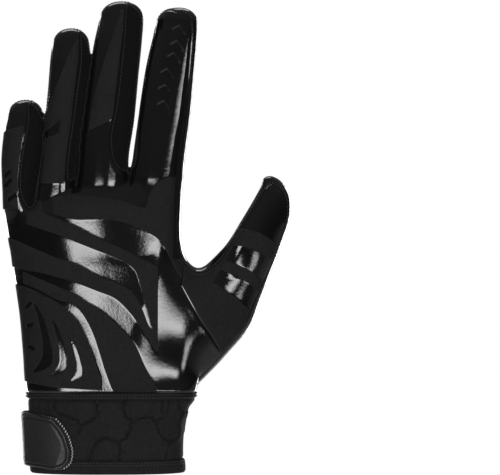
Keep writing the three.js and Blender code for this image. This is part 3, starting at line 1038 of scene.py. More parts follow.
def new_group(name: str, kind: str, inputs: dict, outputs: dict) -> tuple[Shades, object, object]:
    """Starts a node group with named inputs and outputs.

    Args:
        name: The group's name.
        kind: The tree's type.
        inputs: For each input its socket type and default.
        outputs: For each output its socket type.

    Returns:
        The builder, the group's input node and its output node.
    """
    tree = bpy.data.node_groups.new(name, kind)
    for key, (socket, default) in inputs.items():
        made = tree.interface.new_socket(key, in_out="INPUT", socket_type=socket)
        if default is not None:
            made.default_value = default
    for key, socket in outputs.items():
        tree.interface.new_socket(key, in_out="OUTPUT", socket_type=socket)
    shades = Shades(tree)
    return shades, shades.add("NodeGroupInput"), shades.add("NodeGroupOutput")


FLOAT = "NodeSocketFloat"


def weave_group() -> bpy.types.NodeTree:
    """Crossed threads on whichever plane the surface faces, with a little unevenness, and a mask of their
    hollows for painted shade.

    Returns:
        A group with the inputs Pitch and Slant and the outputs Height and Hollow shade, the mask where
        painted shade darkens the threads' hollows.
    """
    shades, given, result = new_group(
        "Threads",
        "ShaderNodeTree",
        {"Pitch": (FLOAT, 0.8 * MM), "Slant": (FLOAT, 0.8)},
        {"Height": FLOAT, "Hollow shade": FLOAT},
    )
    place = shades.add("ShaderNodeTexCoord").outputs["Object"]
    facing = shades.add("ShaderNodeNewGeometry").outputs["Normal"]
    xyz = shades.add("ShaderNodeSeparateXYZ", _0=place).outputs
    normal = shades.add("ShaderNodeSeparateXYZ", _0=facing).outputs
    turn = shades.math("DIVIDE", 2 * math.pi, given.outputs["Pitch"])

    def threads(u: object, v: object) -> bpy.types.NodeSocket:
        """The height of threads crossed on one plane."""
        slanted = shades.math("MULTIPLY", u, given.outputs["Slant"])
        one = shades.math("SINE", shades.math("MULTIPLY", shades.math("ADD", v, slanted), turn))
        two = shades.math("SINE", shades.math("MULTIPLY", shades.math("SUBTRACT", v, slanted), turn))
        return shades.math("MULTIPLY", one, two)

    planes = ((0, 2, 1), (1, 2, 0), (0, 1, 2))
    total = 0.0
    for u, v, across in planes:
        share = shades.math("MULTIPLY", normal[across], normal[across])
        total = shades.math("MULTIPLY_ADD", threads(xyz[u], xyz[v]), share, total)
    fuzz = shades.add("ShaderNodeTexNoise", Vector=place, Scale=1900.0, Detail=2.0)
    mixed = shades.math("MULTIPLY_ADD", fuzz.outputs[0], 0.7, total)
    shades.tree.links.new(mixed, result.inputs["Height"])
    # The mask of the threads' deepest hollows, which the finishes darken as painted shade.
    shades.tree.links.new(shades.math("LESS_THAN", total, -0.35), result.inputs["Hollow shade"])
    return shades.tree


def mottle_group() -> bpy.types.NodeTree:
    """Broad and fine unevenness of a surface.

    Returns:
        A group with the inputs Broad and Fine, the scales of the two, Contrast, the fine
        one's strength, and the output Amount.
    """
    shades, given, result = new_group(
        "Mottle",
        "ShaderNodeTree",
        {"Broad": (FLOAT, 60.0), "Fine": (FLOAT, 1100.0), "Contrast": (FLOAT, 0.4)},
        {"Amount": FLOAT},
    )
    place = shades.add("ShaderNodeTexCoord").outputs["Object"]
    broad = shades.add("ShaderNodeTexNoise", Vector=place, Scale=given.outputs["Broad"], Detail=3.0)
    fine = shades.add("ShaderNodeTexNoise", Vector=place, Scale=given.outputs["Fine"], Detail=2.0)
    base = shades.math("MULTIPLY_ADD", broad.outputs[0], 0.6, 0.2)
    grain = shades.math("SUBTRACT", fine.outputs[0], 0.5)
    mean = shades.math("MULTIPLY_ADD", grain, given.outputs["Contrast"], base)
    shades.tree.links.new(mean, result.inputs["Amount"])
    return shades.tree


def edge_highlight_group() -> bpy.types.NodeTree:
    """A painted highlight along a piece's edges, from the piece's own rim attribute, broken by noise.

    Returns:
        A group with the input Width in millimetres and the output Edge highlight, the painted highlight's
        strength.
    """
    shades, given, result = new_group(
        "Painted edge highlight", "ShaderNodeTree", {"Width": (FLOAT, 1.0)}, {"Edge highlight": FLOAT}
    )
    rim = shades.add("ShaderNodeAttribute", {"attribute_name": "rim"}).outputs["Fac"]
    place = shades.add("ShaderNodeTexCoord").outputs["Object"]
    patchy = shades.add("ShaderNodeTexNoise", Vector=place, Scale=300.0, Detail=3.0).outputs[0]
    near = shades.math("SUBTRACT", 1.0, shades.math("DIVIDE", rim, given.outputs["Width"]))
    clamped = shades.math("MAXIMUM", near, 0.0)
    shades.tree.links.new(shades.math("MULTIPLY", clamped, patchy), result.inputs["Edge highlight"])
    return shades.tree


@dataclass(frozen=True)
class Finish:
    """One surface finish. Colours are linear and grey, with a slight cast."""

    name: str
    dark: float
    light: float
    roughness: tuple[float, float]
    slot: str
    cast: tuple[float, float, float] = (1.0, 1.0, 1.05)
    pitch: float = 0.8  # of the threads, in millimetres
    thread_bump: float = 0.1  # in millimetres
    slant: float = 0.8
    grain_bump: float = 0.0
    grain_scale: float = 400.0
    sheen: float = 0.0
    coat: float = 0.0
    specular: float = 0.5
    # rim_light lightens the colour near a piece's edges, a painted highlight, over a band rim_width
    # millimetres wide.
    rim_light: float = 0.0
    rim_width: float = 1.0
    contrast: float = 0.4

    def material(self, groups: "Groups") -> bpy.types.Material:
        """Builds the finish's material.

        Args:
            groups: The shared node groups.

        Returns:
            The material.
        """
        made = bpy.data.materials.new(self.name)
        made.use_nodes = True
        made.node_tree.nodes.clear()
        shades = Shades(made.node_tree)
        group = {"node_tree": groups.mottle}
        mottle = shades.add("ShaderNodeGroup", group, Contrast=self.contrast).outputs["Amount"]
        group = {"node_tree": groups.weave}
        pitch = self.pitch * MM
        weave = shades.add("ShaderNodeGroup", group, Pitch=pitch, Slant=self.slant).outputs
        group = {"node_tree": groups.rim}
        # A painted highlight lightens the colour near the piece's edges.
        edge_highlight = shades.add("ShaderNodeGroup", group, Width=self.rim_width).outputs["Edge highlight"]
        # The threads' hollows are darkened as painted shade, on top of a mottle whose tone differs at
        # random.
        mottle_and_shade = shades.math("MULTIPLY_ADD", weave["Hollow shade"], -0.45 * min(1.0, self.thread_bump * 10), mottle)
        lit = shades.math("MULTIPLY_ADD", edge_highlight, self.rim_light, mottle_and_shade)
        ends = [tuple(value * c for c in self.cast) + (1.0,) for value in (self.dark, self.light)]
        colour = shades.add(
            "ShaderNodeMix", {"data_type": "RGBA", "clamp_factor": False}, _0=lit, _6=ends[0], _7=ends[1]
        )
        rough = shades.scaled(mottle, *self.roughness)
        grain = shades.add(
            "ShaderNodeTexNoise",
            Vector=shades.add("ShaderNodeTexCoord").outputs["Object"],
            Scale=self.grain_scale,
            Detail=2.0,
        ).outputs[0]
        grained = shades.math("MULTIPLY", grain, self.grain_bump * MM)
        height = shades.math("MULTIPLY_ADD", weave["Height"], self.thread_bump * MM, grained)
        bump = shades.add("ShaderNodeBump", Height=height, Distance=1.0, Strength=1.0)
        surface = shades.add(
            "ShaderNodeBsdfPrincipled",
            Base_Color=colour.outputs[2],
            Roughness=rough,
            Normal=bump.outputs[0],
            Sheen_Weight=self.sheen,
            Sheen_Roughness=0.4,
            Coat_Weight=self.coat,
            Coat_Roughness=0.12,
            Specular_IOR_Level=self.specular,
        )
        shades.add("ShaderNodeOutputMaterial", Surface=surface.outputs[0])
        return made


@dataclass
class Groups:
    """The node groups that the finishes share."""

    weave: bpy.types.NodeTree = field(default_factory=weave_group)
    mottle: bpy.types.NodeTree = field(default_factory=mottle_group)
    rim: bpy.types.NodeTree = field(default_factory=edge_highlight_group)


class Finishes(Enum):
    """The glove's finishes."""

    FILM = Finish(
        "gloss_film",
        0.0035,
        0.005,
        (0.055, 0.11),
        "film",
        thread_bump=0.002,
        grain_bump=0.02,
        grain_scale=900.0,
    )
    MATTE = Finish(
        "matte_relief",
        0.006,
        0.015,
        (0.62, 0.8),
        "matte",
        pitch=0.9,
        thread_bump=0.05,
        sheen=0.03,
        specular=0.15,
        # a painted highlight along the pads' edges
        rim_light=0.8,
        rim_width=0.6,
        grain_bump=0.14,
        grain_scale=1300.0,
        contrast=2.4,
    )
    LINE = Finish("matte_line", 0.02, 0.032, (0.7, 0.85), "matte", thread_bump=0.01, specular=0.1)
    KNIT = Finish(
        "gusset_knit",
        0.002,
        0.006,
        (0.75, 0.92),
        "knit",
        pitch=0.95,
        thread_bump=0.07,
        slant=1.4,
        sheen=0.03,
        specular=0.12,
        grain_bump=0.1,
        grain_scale=900.0,
        contrast=2.4,
    )
    GRIP = Finish(
        "coated_palm",
        0.0035,
        0.0055,
        (0.08, 0.16),
        "grip",
        pitch=1.2,
        thread_bump=0.002,
        grain_bump=0.02,
        grain_scale=500.0,
    )
    CUFF = Finish(
        "cuff_cloth",
        0.006,
        0.017,
        (0.7, 0.88),
        "cuff",
        pitch=0.8,
        thread_bump=0.05,
        sheen=0.03,
        specular=0.15,
        grain_bump=0.18,
        grain_scale=1200.0,
        contrast=2.4,
    )
    TAB = Finish(
        "moulded_tab",
        0.008,
        0.016,
        (0.34, 0.5),
        "tab",
        thread_bump=0.0,
        grain_bump=0.08,
        grain_scale=1100.0,
        # a painted highlight along the tab's edges
        rim_light=0.8,
        specular=0.35,
        contrast=1.4,
    )
    # The hook teeth are black; their light grey colour is painted glints.
    HOOK_GLINTS = Finish("hook_glint_grey", 0.3, 0.5, (0.4, 0.6), "hooks", thread_bump=0.01)
    THREAD = Finish("sewing_thread", 0.014, 0.03, (0.45, 0.6), "knit", thread_bump=0.01, specular=0.3)


class Workshop:
    """Holds the materials and turns skins into finished pieces of the glove."""

    inside_share = 0.12  # of the triangles on a piece's outside
    far_rim = 5.0  # the distance from an edge where none was measured

    def __init__(self) -> None:
        """Builds every finish once."""
        groups = Groups()
        self.materials = {finish: finish.value.material(groups) for finish in Finishes}

    def piece(
        self,
        name: str,
        skin: Skin,
        finish: Finishes,
        outer: np.ndarray,
        inner: np.ndarray | float,
        sharp: float = 38.0,
    ) -> bpy.types.Object:
        """Makes a closed piece between two offsets of a skin.

        Args:
            name: The piece's name, and that of the node that it stands for.
            skin: The skin.
            finish: The finish.
            outer: The height of the outside over the skin, for each vertex.
            inner: The height of the inside.
            sharp: The angle in degrees past which an edge is shaded sharp.

        Returns:
            The piece's object.
        """
        count = len(skin.data)
        top = skin.points + skin.normals * outer[:, None]
        low = skin.points + skin.normals * np.reshape(inner, (-1, 1))
        a, b = skin.edge_pairs().T
        faces = np.vstack(
            [
                skin.faces,
                skin.faces[:, ::-1] + count,
                np.stack([b, a, a + count], 1),
                np.stack([b, a + count, b + count], 1),
            ]
        )
        mesh = mesh_of(name, bent(np.vstack([top, low])), faces)
        rim = skin["rim"] if "rim" in skin.names else np.full(count, self.far_rim)
        layer = mesh.attributes.new("rim", "FLOAT", "POINT")
        layer.data.foreach_set("value", np.concatenate([rim, rim]).astype(np.float32))
        made = bpy.data.objects.new(name, mesh)
        bpy.context.scene.collection.objects.link(made)
        edge = np.zeros(count, bool)
        edge[a] = edge[b] = True
        self.coarsen(made, np.flatnonzero(~edge) + count, len(skin.faces) / len(faces))
        made.data.shade_smooth()
        made.data.set_sharp_from_angle(angle=math.radians(sharp))
        self.dress(made, finish, name)
        return made

    def coarsen(self, made: bpy.types.Object, inside: np.ndarray, share: float) -> None:
        """Gives a piece's inside larger triangles and leaves its outside as it is.

        Args:
            made: The piece.
            inside: The inside's vertices, without its edge.
            share: The inside's share of the triangles.
        """
        group = made.vertex_groups.new(name="inside")
        group.add(inside.tolist(), 1.0, "REPLACE")
        modifier = made.modifiers.new("coarser", "DECIMATE")
        modifier.ratio = 1 - share * (1 - self.inside_share)
        modifier.vertex_group = group.name
        settle(made)
        made.vertex_groups.clear()

    def dress(self, made: bpy.types.Object, finish: Finishes, node: str | None) -> None:
        """Gives an object its material and its place in the frame.

        Args:
            made: The object.
            finish: Its finish.
            node: The node that it stands for, if any.
        """
        if not len(made.data.materials):
            made.data.materials.append(self.materials[finish])
        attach(made, BODY)
        if node:
            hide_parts(node)
        LOG.info("%s: %d triangles", made.name, sum(len(p.vertices) - 2 for p in made.data.polygons))


def stitch_tree(material: bpy.types.Material) -> bpy.types.NodeTree:
    """Stitches along edges, as a Geometry Nodes tree.

    Args:
        material: The thread's material.

    Returns:
        The tree, with the inputs Pitch, Length and Radius in metres.
    """
    shades, given, result = new_group(
        "Stitches",
        "GeometryNodeTree",
        {
            "Lines": ("NodeSocketGeometry", None),
            "Pitch": (FLOAT, 2.4 * MM),
            "Length": (FLOAT, 1.7 * MM),
            "Radius": (FLOAT, 0.22 * MM),
        },
        {"Thread": "NodeSocketGeometry"},
    )
    curve = shades.add("GeometryNodeMeshToCurve", Mesh=given.outputs["Lines"])
    spaced = shades.add(
        "GeometryNodeResampleCurve",
        {"mode": "LENGTH"},
        Curve=curve.outputs[0],
        Length=given.outputs["Pitch"],
    )
    bead = shades.add("GeometryNodeMeshUVSphere", Segments=6, Rings=5, Radius=1.0)
    half = shades.math("MULTIPLY", given.outputs["Length"], 0.5)
    radius = given.outputs["Radius"]
    size = shades.add("ShaderNodeCombineXYZ", X=half, Y=radius, Z=radius)
    tangent = shades.add("GeometryNodeInputTangent")
    turn = shades.add("FunctionNodeAlignRotationToVector", {"axis": "X"}, Vector=tangent.outputs[0])
    placed = shades.add(
        "GeometryNodeInstanceOnPoints",
        Points=spaced.outputs[0],
        Instance=bead.outputs[0],
        Rotation=turn.outputs[0],
        Scale=size.outputs[0],
    )
    solid = shades.add("GeometryNodeRealizeInstances", Geometry=placed.outputs[0])
    smooth = shades.add("GeometryNodeSetShadeSmooth", Geometry=solid.outputs[0])
    inked = shades.add("GeometryNodeSetMaterial", Geometry=smooth.outputs[0], Material=material)
    shades.tree.links.new(inked.outputs[0], result.inputs["Thread"])
    return shades.tree


@dataclass
class Stitcher:
    """Sews rows of stitches along lines on the glove's surface."""

    workshop: Workshop
    tree: bpy.types.NodeTree = field(init=False)
    finish: Finishes = Finishes.THREAD
    pitch: float = 1.7
    length: float = 1.3
    radius: float = 0.26

    def __post_init__(self) -> None:
        """Builds the tree once."""
        self.tree = stitch_tree(self.workshop.materials[self.finish])

    def sew(self, name: str, points: np.ndarray, edges: np.ndarray) -> None:
        """Makes the stitches along edges between points, as one plain mesh.

        Args:
            name: The row's name.
            points: The points, in millimetres, on the relaxed hand.
            edges: Pairs of points.
        """
        used, inverse = np.unique(edges, return_inverse=True)
        lines = bpy.data.meshes.new(name)
        lines.from_pydata((points[used] * MM).tolist(), inverse.reshape(-1, 2).tolist(), [])
        made = bpy.data.objects.new(name, lines)
        bpy.context.scene.collection.objects.link(made)
        modifier = made.modifiers.new("stitches", "NODES")
        modifier.node_group = self.tree
        sizes = {"Pitch": self.pitch, "Length": self.length, "Radius": self.radius}
        for item in self.tree.interface.items_tree:
            if item.in_out == "INPUT" and item.name in sizes:
                modifier[item.identifier] = sizes[item.name] * MM
        settle(made)
        self.workshop.dress(made, self.finish, None)


def settle(made: bpy.types.Object) -> None:
    """Turns an object's modifiers into a plain mesh.

    Args:
        made: The object.
    """
    graph = bpy.context.evaluated_depsgraph_get()
    graph.update()
    plain = bpy.data.meshes.new_from_object(made.evaluated_get(graph))
    old = made.data
    made.modifiers.clear()
    made.data = plain
    plain.name = made.name
    bpy.data.meshes.remove(old)


def line_points(skin: Skin, height: np.ndarray) -> np.ndarray:
    """The skin's vertices at a height, on the relaxed hand."""
    return bent(skin.points + skin.normals * height[:, None])


BAND = "across high low"


def refined(at: np.ndarray, parts: int) -> np.ndarray:
    """Places with each gap between them cut into equal parts."""
    shares = np.arange(parts) / parts
    return np.append((at[:-1, None] + shares * np.diff(at)[:, None]).ravel(), at[-1])


def band(*rows: tuple[float, ...]) -> Outline:
    """The outline of a band between an upper and a lower edge, its rows joined smoothly.

    Args:
        rows: The place across, the upper and the lower height of each row, as shares.

    Returns:
        The outline.
    """
    columns = table(BAND, *rows)
    at = columns["across"]
    fine = refined(at, 5)
    high = np.stack([SIZES.across(fine), SIZES.up(through(fine, at, columns["high"]))], 1)
    low = np.stack([SIZES.across(fine), SIZES.up(through(fine, at, columns["low"]))], 1)
    return Outline.between(high, low)


def on_finger(finger: Finger, *rows: tuple[float, ...]) -> Outline:
    """The outline of a patch on a finger, its rows joined smoothly.

    Args:
        finger: The finger.
        rows: The height of each row, then its ends as shares of the half width, from the tip down.

    Returns:
        The outline.
    """
    columns = table("up left right", *rows[::-1])
    up = columns["up"]
    fine = refined(up, 5)
    z = SIZES.up(fine)
    edges = []
    for key in ("left", "right"):
        share = through(fine, up, columns[key])
        aside = share * finger.at(z, "width") * SIZES.finger_width / 2
        edges.append(np.stack([finger.edge(z, 0)[:, 0] + aside, z], 1))
    return Outline.between(*edges)


def on_thumb(*rows: tuple[float, ...]) -> Outline:
    """The outline of a patch on the thumb, its rows joined smoothly.

    Args:
        rows: The place beside, the upper and the lower end of each row, as shares.

    Returns:
        The outline.
    """
    columns = table("beside high low", *rows)
    at = columns["beside"]
    fine = refined(at, 4)
    high = SIZES.on_thumb(through(fine, at, columns["high"]), fine)
    low = SIZES.on_thumb(through(fine, at, columns["low"]), fine)
    return Outline.between(high, low)


def polyline(points: tuple[tuple[float, float], ...]) -> np.ndarray:
    """Places from shares of the breadth across and the length up."""
    shares = np.array(points, float)
    return np.stack([SIZES.across(shares[:, 0]), SIZES.up(shares[:, 1])], 1)


def rounded(points: np.ndarray, rounds: int = 2) -> np.ndarray:
    """An open line with its corners cut, its two ends kept.

    Args:
        points: The line's points.
        rounds: How many times the corners are cut.

    Returns:
        The new points.
    """
    for _ in range(rounds):
        a, b = points[:-1], points[1:]
        cut = np.stack([0.75 * a + 0.25 * b, 0.25 * a + 0.75 * b], 1).reshape(-1, 2)
        points = np.vstack([points[:1], cut, points[-1:]])
    return points


@dataclass(frozen=True)
class Gusset:
    """The strip between two fingers: its seam runs down the left one's back, under the crotch
    and up the edge of the right one."""

    name: str
    left: Finger
    right: Finger
    seam: tuple[tuple[float, float], ...]
    half: float = 0.2 * SIZES.finger_depth
    beyond: float = 6.0  # how far the outlines run past the tips
    fold: float = 4.5  # how far back the palm's film comes round at a tip
    top_start: float = 0.1 * SIZES.finger_width
    foot: float = 0.14 * SIZES.finger_width
    fold_from: float = 17.0  # how far below the left tip the seam begins to move back
    fold_run: float = 12.0
    close_from: float = 16.0  # how far below the right tip the strip begins to narrow
    close_run: float = 10.0

    def crotch(self) -> float:
        """The height where the two fingers part."""
        z = np.linspace(SIZES.up(self.right.rows["up"][0]), SIZES.up(self.left.tip) - self.top_start, 200)
        apart = self.right.edge(z, -1)[:, 0] - self.left.edge(z, 1)[:, 0]
        return float(z[np.argmax(apart > 0)])

    def outlines(self) -> tuple[Outline, Outline]:
        """The strip's outlines on the two fingers.

        Returns:
            The one on the left finger and the one on the right finger.
        """
        crotch, top = self.crotch(), SIZES.up(self.left.tip) + self.beyond
        seam = rounded(polyline(self.seam))
        seam = np.vstack([[seam[0, 0], top], seam])
        between = np.linspace(max(crotch + 2, seam[-1, 1]), top, 18)
        middle = (self.left.edge(between, 1) + self.right.edge(between, -1)) / 2
        reach = np.linspace(crotch - self.foot, SIZES.up(self.right.tip) - self.top_start, 20)
        axis, outer = self.right.edge(reach, -0.05), self.right.edge(reach, -1.3)
        free = (reach > crotch + 0.3 * SIZES.finger_width) & (reach < top)
        mid = (self.left.edge(reach, 1) + self.right.edge(reach, -1)) / 2
        outer[free] = mid[free]
        return Outline(np.vstack([seam, middle])), Outline.between(outer, axis)

    def inside(self, x: np.ndarray, y: np.ndarray, z: np.ndarray) -> tuple[np.ndarray, np.ndarray]:
        """How far places of the flat hand lie inside the strip, and inside the palm's fold.

        Args:
            x: The places' x.
            y: The places' y.
            z: The places' heights.

        Returns:
            The two distances, negative outside.
        """
        left, right = (outline.inside(x, z) for outline in self.outlines())
        near = eased((z - SIZES.up(self.left.tip) + self.fold_from) / self.fold_run)
        edge = self.half * (1 - near) - self.fold * near
        close = eased((z - SIZES.up(self.right.tip) + self.close_from) / self.close_run)
        strip = np.minimum(right, self.half * (1 - close) - np.abs(y))
        return np.maximum(np.minimum(left, edge - y), strip), np.minimum(left, y - edge)


GUSSETS = (
    Gusset(
        "fourchette_pinky_ring",
        PINKY,
        RING,
        (
            (-0.445, 0.752), (-0.472, 0.738), (-0.463, 0.731), (-0.463, 0.701),
            (-0.474, 0.663), (-0.491, 0.625), (-0.503, 0.587), (-0.509, 0.549),
            (-0.503, 0.511), (-0.469, 0.4785), (-0.43, 0.472), (-0.405, 0.485),
            (-0.395, 0.51), (-0.388, 0.55), (-0.375, 0.6), (-0.362, 0.65),
        ),
    ),
    Gusset(
        "fourchette_ring_middle",
        RING,
        MIDDLE,
        (
            (-0.175, 0.932), (-0.166, 0.908), (-0.16, 0.847), (-0.183, 0.777),
            (-0.2, 0.713), (-0.211, 0.6755), (-0.229, 0.625), (-0.24, 0.56),
            (-0.222, 0.541), (-0.195, 0.546), (-0.178, 0.57), (-0.16, 0.61),
            (-0.15, 0.66), (-0.138, 0.71), (-0.126, 0.75),
        ),
    ),
    Gusset(
        "fourchette_middle_index",
        MIDDLE,
        INDEX,
        (
            (0.1, 1.0), (0.0915, 0.975), (0.086, 0.903), (0.074, 0.852),
            (0.063, 0.802), (0.049, 0.751), (0.034, 0.711), (0.017, 0.6805),
            (0.011, 0.65), (0.017, 0.612), (0.034, 0.59), (0.063, 0.572),
            (0.114, 0.567), (0.149, 0.5755), (0.172, 0.6), (0.176, 0.64),
            (0.18, 0.69), (0.189, 0.75),
        ),
    ),
)
THUMB_SEAM = (
    (0.6, 0.345), (0.44, 0.345), (0.423, 0.284), (0.469, 0.246),
    (0.537, 0.193), (0.583, 0.165), (0.657, 0.107), (1.6, 0.107),
    (1.6, 0.7), (0.6, 0.7),
)


@dataclass
class HandPanels:
    """The sewn panels of the hand: back, palm, thumb and the strips between the fingers."""

    workshop: Workshop
    stitcher: Stitcher
    relief: "Relief"
    wall: float = 1.1
    wrap: float = 6.5  # how far the palm's cloth comes round on to the back at the thumb side
    index_seam: float = 0.74  # of the index finger's half width
    valley: float = 0.3  # the depth of a sewn seam
    valley_width: float = 0.5
    roll: float = 0.04  # how far the cloth swells beside a seam
    fillet: float = 0.04  # how far the film climbs a pad's edge
    fillet_width: float = 0.3
    row_inset: float = 1.0  # a row of stitches from its seam
    row_height: float = 0.08  # the middle of the thread over the cloth
    row_clear: float = 3.5  # the rows end above the wrist seam

    WRAP_FROM = 0.27  # of the breadth
    WRAP_RUN = 0.14
    RIM_LEVELS = (0.15, 0.35, 0.65, 1.5)
    FILLET_LEVELS = (-0.12, -0.3, -0.65)

    def regions(self, skin: Skin) -> dict[str, Skin]:
        """Cuts the hand's skin into its panels.

        Args:
            skin: The whole skin.

        Returns:
            Each panel's skin by its node's name.
        """
        x, y, z = (skin[k].copy() for k in "xyz")
        ease = rising(x, SIZES.across(self.WRAP_FROM), SIZES.across(self.WRAP_RUN))
        skin["index"] = self.index_strip(x, y, z, self.wrap * ease)
        skin["palm"] = y + self.wrap * ease
        skin["thumb"] = Outline(polyline(THUMB_SEAM)).inside(x, z)
        for gusset in GUSSETS:
            skin[gusset.name], fold = gusset.inside(x, y, z)
            skin["palm"] = np.maximum(skin["palm"], fold)
        names = [g.name for g in GUSSETS]
        for name in (*names, "index", "palm", "thumb"):
            skin.split(name)
        left = np.ones(len(skin.faces), bool)
        found = {}
        nodes = {name: name for name in names}
        nodes |= {"index_side": "index", "palm_panel": "palm", "thumb_back": "thumb"}
        for node, value in nodes.items():
            mine = left & (skin.mean(value) > 0)
            found[node] = skin.kept(mine)
            left &= ~mine
        found["back_panel"] = skin.kept(left)
        return found

    def index_strip(self, x: np.ndarray, y: np.ndarray, z: np.ndarray, wrap: np.ndarray) -> np.ndarray:
        """How far places lie inside the strip on the index finger's thumb side.

        Args:
            x: The places' x.
            y: The places' y.
            z: The places' heights.
            wrap: How far the palm's cloth comes round there.

        Returns:
            The distances, negative outside.
        """
        heights = np.linspace(SIZES.up(0.35), SIZES.up(INDEX.tip) - 5, 12)
        seam = INDEX.edge(heights, self.index_seam)
        outer = INDEX.edge(heights[::-1], 1.4)
        strip = Outline(np.vstack([seam, outer])).inside(x, z)
        return np.minimum(strip, -wrap - y)

    def sewn(self, skin: Skin) -> np.ndarray:
        """The height of a panel's outside, which dips into its seams and swells beside them.

        Args:
            skin: The panel's skin, with its rim measured.

        Returns:
            The height at each vertex.
        """
        rim = skin["rim"]
        dip = -self.valley * np.exp(-((rim / self.valley_width) ** 1.3))
        swell = self.roll * np.exp(-(((rim - 1.6) / 1.1) ** 2))
        return dip + swell + unevenness(skin)

    def build(self, skin: Skin) -> None:
        """Builds the panels and their rows of stitches.

        Args:
            skin: The whole hand's skin.
        """
        film = Finishes.FILM
        finishes = {"back_panel": film, "thumb_back": film, "palm_panel": Finishes.GRIP}
        pads = {"back_panel": self.relief.hand_pads(), "thumb_back": [self.relief.thumb_pad()]}
        for name, panel in self.regions(skin).items():
            panel.measure_rim()
            if name in pads:
                self.relief.build(panel, pads[name])
                for level in self.FILLET_LEVELS:
                    panel.split("near", level)
            for level in sorted({*self.RIM_LEVELS, self.row_inset}):
                panel.split("rim", level)
            outer = self.sewn(panel)
            if name in pads:
                outer += self.fillet * np.exp(np.minimum(0, panel["near"]) / self.fillet_width)
            finish = finishes.get(name, Finishes.KNIT)
            self.workshop.piece(name, panel, finish, outer, -self.wall)
            if name == "palm_panel" or name.startswith("fourchette"):
                lines = panel.level_edges("rim", self.row_inset)
                free = panel["z"][lines].min(1) > SIZES.wrist_seam + self.row_clear
                points = line_points(panel, outer + self.row_height)
                if free.any():
                    self.stitcher.sew("stitches_" + name, points, lines[free])


def unevenness(skin: Skin, amount: float = 0.12, size: float = 17.0) -> np.ndarray:
    """The slight waviness of stretched cloth.

    Args:
        skin: The cloth's skin.
        amount: The height of the waves.
        size: Their length.

    Returns:
        The height at each vertex.
    """
    places = (skin.points / size).tolist()
    return amount * np.array([noise.noise(Vector(p)) for p in places])


@dataclass(frozen=True)
class Pad:
    """A raised patch of the back: its outline and the windows cut through it."""

    name: str
    outlines: tuple[Outline, ...]
    cuts: tuple[Outline | Slot, ...] = ()
    rise: float = 1.0  # the share of the full thickness
    finish: Finishes = Finishes.MATTE

    def inside(self, x: np.ndarray, z: np.ndarray) -> np.ndarray:
        """How far places lie inside the patch.

        Args:
            x: The places' x.
            z: The places' z.

        Returns:
            The distances, negative outside.
        """
        found = np.max([o.inside(x, z) for o in self.outlines], axis=0)
        for cut in self.cuts:
            found = np.minimum(found, -cut.inside(x, z))
        return found


